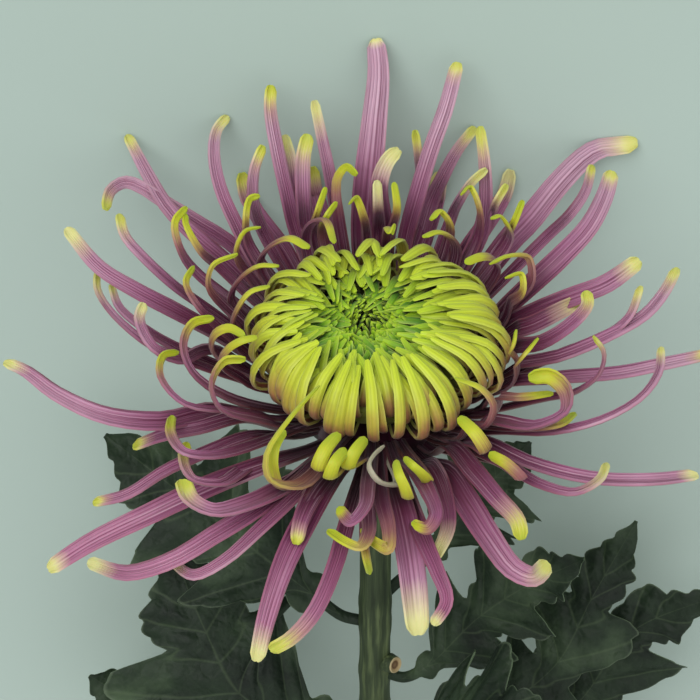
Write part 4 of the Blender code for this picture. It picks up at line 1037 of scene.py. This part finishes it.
def makeLeaf(number, halfWidth, bladeStart, pixels, draw):
    points = [seenAt(pixel[:2], pixel[2]) for pixel in pixels]
    foot = points[0]
    outward = Vector((points[1].x - foot.x, 0.0, points[1].z - foot.z)).normalized()
    start = outward * leaf["joint"] * flower["stemRadius"] + upAxis(foot.y)
    collar = start + outward * leaf["collar"][0] + upAxis(leaf["collar"][1])
    samples = curveThrough([start, collar] + points[1:])
    travelled = travelledAlong(samples, 0.0)
    length = travelled[-1] * (1.0 - bladeStart)
    phase = draw.uniform(*leaf["phaseDraw"])
    edges = {-1: [], 1: []}
    for station in [None] * leaf["stalkSteps"] + list(leafEdge):
        left, _, right = (draw.uniform(*leaf["lobeDraw"]) for _ in range(3))
        if station:
            edges[-1].append((station[0], station[1] * left))
            edges[1].append((station[0], station[1] * right))
    rows, stalkRows = leafStrip["rows"], leaf["stalkRows"]
    shares = [bladeStart * row / stalkRows for row in range(stalkRows)]
    bladeRows = rows - stalkRows
    shares += [bladeStart + (1.0 - bladeStart) * row / bladeRows for row in range(bladeRows + 1)]
    places = placedAt(samples, travelled, shares)
    frames = framesAlong(places, toEye.cross(places[-1] - places[0]))
    moved = []
    blades = []
    for vertex in leafStrip.data.vertices:
        x, y, z = vertex.co
        row = round(y * rows)
        place, across, upper, ahead = frames[row]
        blades.append((shares[row] - bladeStart) / (1.0 - bladeStart))
        blade = max(blades[-1], 0.0)
        spread = abs(2.0 * x)
        way = 1 if x >= 0.0 else -1
        opened = eased(blade / leaf["opensBy"])
        share = edgeShare(edges[way], blade)
        reach = max(leaf["stalkHalfWidth"] * (1.0 - blade), halfWidth * share)
        # coarse teeth along the edge
        tooth = abs(math.sin(math.pi * (blade * leaf["teeth"] + leaf["toothShift"] * way)))
        tooth -= leaf["toothFoot"]
        tooth *= leaf["toothLength"] * opened * spread**4 * min(1.0, reach / leaf["toothReach"])
        varies, closely = leaf["toothVaries"]
        tooth *= 1.0 - varies + varies * math.sin(closely * blade + phase + way)
        tooth *= 1.0 - eased((blade - leaf["teethEnd"]) / (1.0 - leaf["teethEnd"]))
        high, closely = leaf["wave"]
        wave = high * math.sin(closely * blade + phase + way) * opened * share * spread
        high, closely = leaf["ripple"]
        ripple = high * math.sin(closely * blade + 2.0 * way + phase) * opened * spread**2
        # how far the nearest side vein and the middle rib are, in millimetres
        slope = leaf["veinSlope"] * (1.0 - spread)
        near = min(abs(blade - (vein - slope)) for vein in leaf["veins"]) * length
        rib = spread * reach
        puff = -leaf["puff"] * (1.0 - math.exp(-((near / leaf["veinHollow"]) ** 2)))
        puff *= 1.0 - math.exp(-((rib / leaf["ribHollow"]) ** 2))
        puff = opened * (puff + leaf["puffLift"])
        raised = leaf["fold"] * reach * opened * spread + wave + ripple + puff * (1.0 - spread**4)
        lean = leaf["lean"] * reach * opened * (1.0 - blade) * spread
        thick = leaf["stalkThickness"] + (leaf["bladeThickness"] - leaf["stalkThickness"]) * opened
        rounded = leaf["stalkEdge"] + (1.0 - leaf["stalkEdge"]) * math.sqrt(max(1.0 - spread * spread, 0.0))
        thick *= opened * (1.0 - leaf["thinnerEdge"] * spread) + (1.0 - opened) * rounded
        high, wide = leaf["keel"]
        keel = high * opened * math.exp(-((rib / wide) ** 2)) * (1.0 - blade)
        # the ribs run keeled along the under side, which the frames call upper
        rise = 0.5 * thick + keel if z > -0.5 else -0.5 * thick
        out = (reach * spread + tooth) * way
        moved.append(place + across * out + upper * (raised + rise) + ahead * lean)
    under = [float(vertex.co.z > -0.5) for vertex in leafStrip.data.vertices]
    return copyOf(leafStrip, "leaf%d" % number, moved, {"blade": blades, "under": under})


# Leaf: a dark green blade with a thin dull wax on its crinkled upper side, paler below, with pale veins
# that run to its lobes and a fine net between them
def leafSkin():
    material, tree = newMaterial("leafSkin")
    blade, under = (
        addNode(tree, "Attribute", {"attribute_name": name}, "Fac") for name in ("blade", "under"))
    place = addNode(tree, "TexCoord", output="Object")
    spread = acrossStrip(tree)[1]
    # side veins that stray a little, and the middle rib
    level = addNode(tree, "MapRange", {"Value": spread, "To Min": leaf["veinSlope"], "To Max": 0.0})
    stray = addNode(tree, "TexNoise", {"Vector": place, "Scale": perMetre(9.091), "Detail": 1.0})
    stray = addNode(tree, "MapRange", {"Value": stray, "To Min": -0.014, "To Max": 0.014})
    for more in (blade, stray):
        level = addNode(tree, "Math", {"operation": "ADD", 0: level, 1: more})
    nearest = addNode(tree, "Math", {"operation": "MULTIPLY", 0: spread, 1: 0.35})
    for vein in leaf["veins"]:
        away = addNode(tree, "Math", {"operation": "SUBTRACT", 0: level, 1: vein})
        away = addNode(tree, "Math", {"operation": "ABSOLUTE", 0: away})
        nearest = addNode(tree, "Math", {"operation": "MINIMUM", 0: nearest, 1: away})
    rib = addNode(tree, "MapRange", {"Value": nearest, "From Min": 0.008, "From Max": 0.001})
    # the fine net has meshes about 3 mm wide, drawn out of true by up to 6 mm
    drift = addNode(tree, "TexNoise", {"Vector": place, "Scale": perMetre(6.667), "Detail": 2.0}, "Color")
    drift = addNode(tree, "VectorMath", {"operation": "SCALE", 0: drift, "Scale": 0.006})
    drift = addNode(tree, "VectorMath", {"operation": "ADD", 0: place, 1: drift})
    net = addNode(tree, "TexVoronoi", {
        "feature": "DISTANCE_TO_EDGE", "Vector": drift, "Scale": perMetre(3.03)})
    fine = addNode(tree, "MapRange", {"Value": net, "From Min": 0.07, "From Max": 0.0, "To Max": 0.14})
    lines = addNode(tree, "Math", {"operation": "MAXIMUM", 0: rib, 1: fine})
    lines = addNode(tree, "Math", {"operation": "MULTIPLY", 0: lines, 1: 0.21})
    margin = addNode(tree, "MapRange", {
        "Value": spread, "From Min": 0.965, "From Max": 0.99, "To Max": 0.28})
    blotch = addNode(tree, "TexNoise", {"Vector": place, "Scale": perMetre(16.67), "Detail": 5.0})
    green = addNode(tree, "ValToRGB", {"Fac": blotch, "stops": (
        (0.3, "#0F1911"), (0.48, "#1D2C1C"), (0.68, "#41523A"))})
    for share, colour in ((under, "#5B6E4E"), (lines, "#5A6B4C"), (margin, "#74836A")):
        green = addNode(tree, "Mix", {"data_type": "RGBA", 0: share, 6: green, 7: colour})
    # the net's own low puffs, and soft hollows about 8 mm across
    puff = addNode(tree, "MapRange", {"Value": net, "From Max": 0.35})
    bump = addNode(tree, "Bump", {"Height": puff, "Strength": 0.3, "Distance": 0.0004})
    crinkle = addNode(tree, "TexNoise", {"Vector": place, "Scale": perMetre(7.692), "Detail": 3.0})
    bump = addNode(tree, "Bump", {"Height": crinkle, "Normal": bump, "Strength": 0.7, "Distance": 0.003})
    fillNode(tree.nodes["Principled BSDF"], {
        "Base Color": green, "Normal": bump, "Roughness": 0.55, "Specular IOR Level": 0.25,
    })
    return material


leafDraw = random.Random(flower["solidSeed"])
for _ in range(leaf["solidDraws"]):
    leafDraw.random()
leafMaterial = leafSkin()
for number, (halfWidth, bladeStart, *pixels) in enumerate(leafRibs, start=1):
    blade = makeLeaf(number, halfWidth, bladeStart, pixels, leafDraw)
    joinAs("leafBlade%d" % number, [blade], leafMaterial, "leaf_%d" % number)
print("The leaves are made")

# The stem: ribbed, with a swelling where each leaf leaves it
stem = {
    "sides": 84,
    "steps": 90,
    "top": -27.1,
    "ribs": 7,
    "ribDepth": 0.05,
    "ribTwist": 0.004,
    "swelling": (0.1, 3.0),  # how much thicker, and over how long a stretch
    "pithRadius": 1.0,
}
# The stub of a side shoot that was cut away: its foot on the stem, its way out and its scar
stub = {
    "foot": Vector((2.2, -98.5, 1.6)),
    "way": Vector((0.72, 0.28, 0.63)),
    "profile": ((2.1, 0.0), (2.3, 1.2), (2.1, 2.4), (1.95, 3.3), (1.75, 3.6), (1.5, 3.3), (0.8, 3.1),
                (0.5, 3.2)),
    "scarRadius": 1.9,
    "scarFrom": 2.9,
}


def localPlace(vertex):
    # a point of a turned form in the bloom's own directions, in millimetres
    away = vertex.co / flower["millimetre"] - bloomCentre
    return away.dot(side), away.dot(axis), away.dot(front)


def makeStub():
    body = turnedCore("stub", stub["profile"], 32)
    way = stub["way"].normalized()
    aside = way.cross(upAxis(1.0)).normalized()
    scar = []
    for vertex in body.data.vertices:
        across, height, out = localPlace(vertex)
        inside = max(1.0 - math.hypot(across, out) / stub["scarRadius"], 0.0)
        scar.append(inside if height > stub["scarFrom"] else 0.0)
        vertex.co = inWorld(stub["foot"] + aside * across + way * height + aside.cross(way) * out)
    setMarks(body.data, {"scar": scar})
    return body


def makeStem():
    knots = [height for _, _, (_, _, height), *_ in leafRibs]
    thicker, stretch = stem["swelling"]
    profile = []
    for step in range(stem["steps"] + 1):
        height = -flower["stemReach"] + (flower["stemReach"] + stem["top"]) * step / stem["steps"]
        swelling = sum(math.exp(-(((height - knot) / stretch) ** 2)) for knot in knots)
        profile.append((flower["stemRadius"] * (1.0 + thicker * min(swelling, 1.0)), height))
    body = turnedCore("stem", profile, stem["sides"])
    fresh = []
    for vertex in body.data.vertices:
        across, height, out = localPlace(vertex)
        inside = math.hypot(across, out) < stem["pithRadius"]
        if not inside:
            turn = stem["ribs"] * math.atan2(out, across) + stem["ribTwist"] * height
            ribbed = 1.0 - stem["ribDepth"] * (0.5 + 0.5 * math.cos(turn))
            across, out = across * ribbed, out * ribbed
        place = inWorld(Vector((across, height, out)))
        place.z = max(place.z, 0.0)
        vertex.co = place
        # only the middle of the cut end is fresh
        fresh.append(float(inside and height < 0.5 * stem["top"] - 0.5 * flower["stemReach"]))
    setMarks(body.data, {"fresh": fresh})
    return body


# Stem: green bark with lengthwise ribs, grey-green bloom between them and a rough skin. The healed cut
# has a corky ring round brown pith, and the cut end a green rind round moist pale pith.
def stemBark():
    material, tree = newMaterial("stemBark")
    along = addNode(tree, "Mapping", {
        "Vector": addNode(tree, "TexCoord", output="Object"), "Rotation": (flower["tilt"], 0.0, 0.0)})
    along = addNode(tree, "Mapping", {"Vector": along, "Scale": (1.0, 0.06, 1.0)})
    streak = addNode(tree, "TexNoise", {"Vector": along, "Scale": perMetre(1.111), "Detail": 4.0})
    colour = addNode(tree, "ValToRGB", {"Fac": streak, "stops": (
        (0.3, "#222D1A"), (0.5, "#37442A"), (0.72, "#5E6B45"))})
    for mark, least, stops in (
        ("scar", 0.005, ((0.0, "#B5A57E"), (0.35, "#A58E66"), (0.55, "#5E4630"), (1.0, "#7A6244"))),
        ("fresh", 0.02, ((0.0, "#3D4C2C"), (0.1, "#7E8E58"), (0.22, "#B4B78C"), (0.6, "#CDCBAE"),
                         (1.0, "#D6D3BC"))),
    ):
        share = addNode(tree, "Attribute", {"attribute_name": mark}, "Fac")
        cut = addNode(tree, "Math", {"operation": "GREATER_THAN", 0: share, 1: least})
        wood = addNode(tree, "ValToRGB", {"Fac": share, "stops": stops})
        colour = addNode(tree, "Mix", {"data_type": "RGBA", 0: cut, 6: colour, 7: wood})
    fillNode(tree.nodes["Principled BSDF"], {
        "Base Color": colour,
        "Normal": addNode(tree, "Bump", {"Height": streak, "Strength": 0.4, "Distance": 0.0003}),
        "Roughness": 0.6, "Specular IOR Level": 0.3,
    })
    return material


joinAs("stemBody", [makeStem(), makeStub()], stemBark(), "stem")
print("The stem is made")

for strip in (rayStrip, limeStrip, smallLimeStrip, bractStrip, leafStrip):
    bpy.data.objects.remove(strip)

# A plain pale floor, soft light from above the bloom's face and a soft fill
studio = {
    "floorSize": 12.0,
    "floor": ("#AFBFB7", "#ADBEB6"),
    "sky": "#DDE0DF",
    "skyStrength": 0.76,
    # each lamp: where its light comes from, how wide it is, and its strength
    "lamps": (((0.5, -1.0, 1.1), math.radians(52.0), 1.6), ((-0.9, 0.2, 1.4), math.radians(80.0), 0.6)),
}


# Matte paper: even and dull, with the faintest clouds
def paintFloor():
    material, tree = newMaterial("mattePaper")
    clouds = addNode(tree, "TexNoise", {
        "Vector": addNode(tree, "TexCoord", output="Object"), "Scale": perMetre(333.3), "Detail": 2.0})
    fillNode(tree.nodes["Principled BSDF"], {
        "Base Color": addNode(tree, "Mix", {
            "data_type": "RGBA", 0: clouds, 6: studio["floor"][0], 7: studio["floor"][1]}),
        "Roughness": 0.95, "Specular IOR Level": 0.1,
    })
    return material


bpy.ops.object.select_all(action="DESELECT")
bpy.ops.mesh.primitive_plane_add(size=studio["floorSize"])
floor = bpy.context.active_object
floor.name = "floor"
floor.data.materials.append(paintFloor())

world = bpy.data.worlds.new("studio")
world.use_nodes = True
fillNode(world.node_tree.nodes["Background"], {"Color": studio["sky"], "Strength": studio["skyStrength"]})
bpy.context.scene.world = world
for number, (place, width, strength) in enumerate(studio["lamps"]):
    lamp = bpy.data.lights.new("softbox%d" % number, "SUN")
    lamp.angle = width
    lamp.energy = strength
    stand = bpy.data.objects.new(lamp.name, lamp)
    stand.location = place
    stand.rotation_mode = "QUATERNION"
    stand.rotation_quaternion = Vector(place).to_track_quat("Z", "Y")
    bpy.context.scene.collection.objects.link(stand)
bpy.context.scene.view_settings.view_transform = "Standard"

camera = bpy.data.cameras.new("camera")
camera.sensor_width = view["sensor"]
camera.lens = view["sensor"] * view["distance"] / (view["picture"] * view["pixelSize"])
camera.clip_end = view["farthest"]
stand = bpy.data.objects.new("camera", camera)
stand.matrix_world = Matrix.Translation(inWorld(eye)) @ Matrix(
    (side, turned(viewUp), turned(toEye))).transposed().to_4x4()
bpy.context.scene.collection.objects.link(stand)
bpy.context.scene.camera = stand
print("The studio is ready")
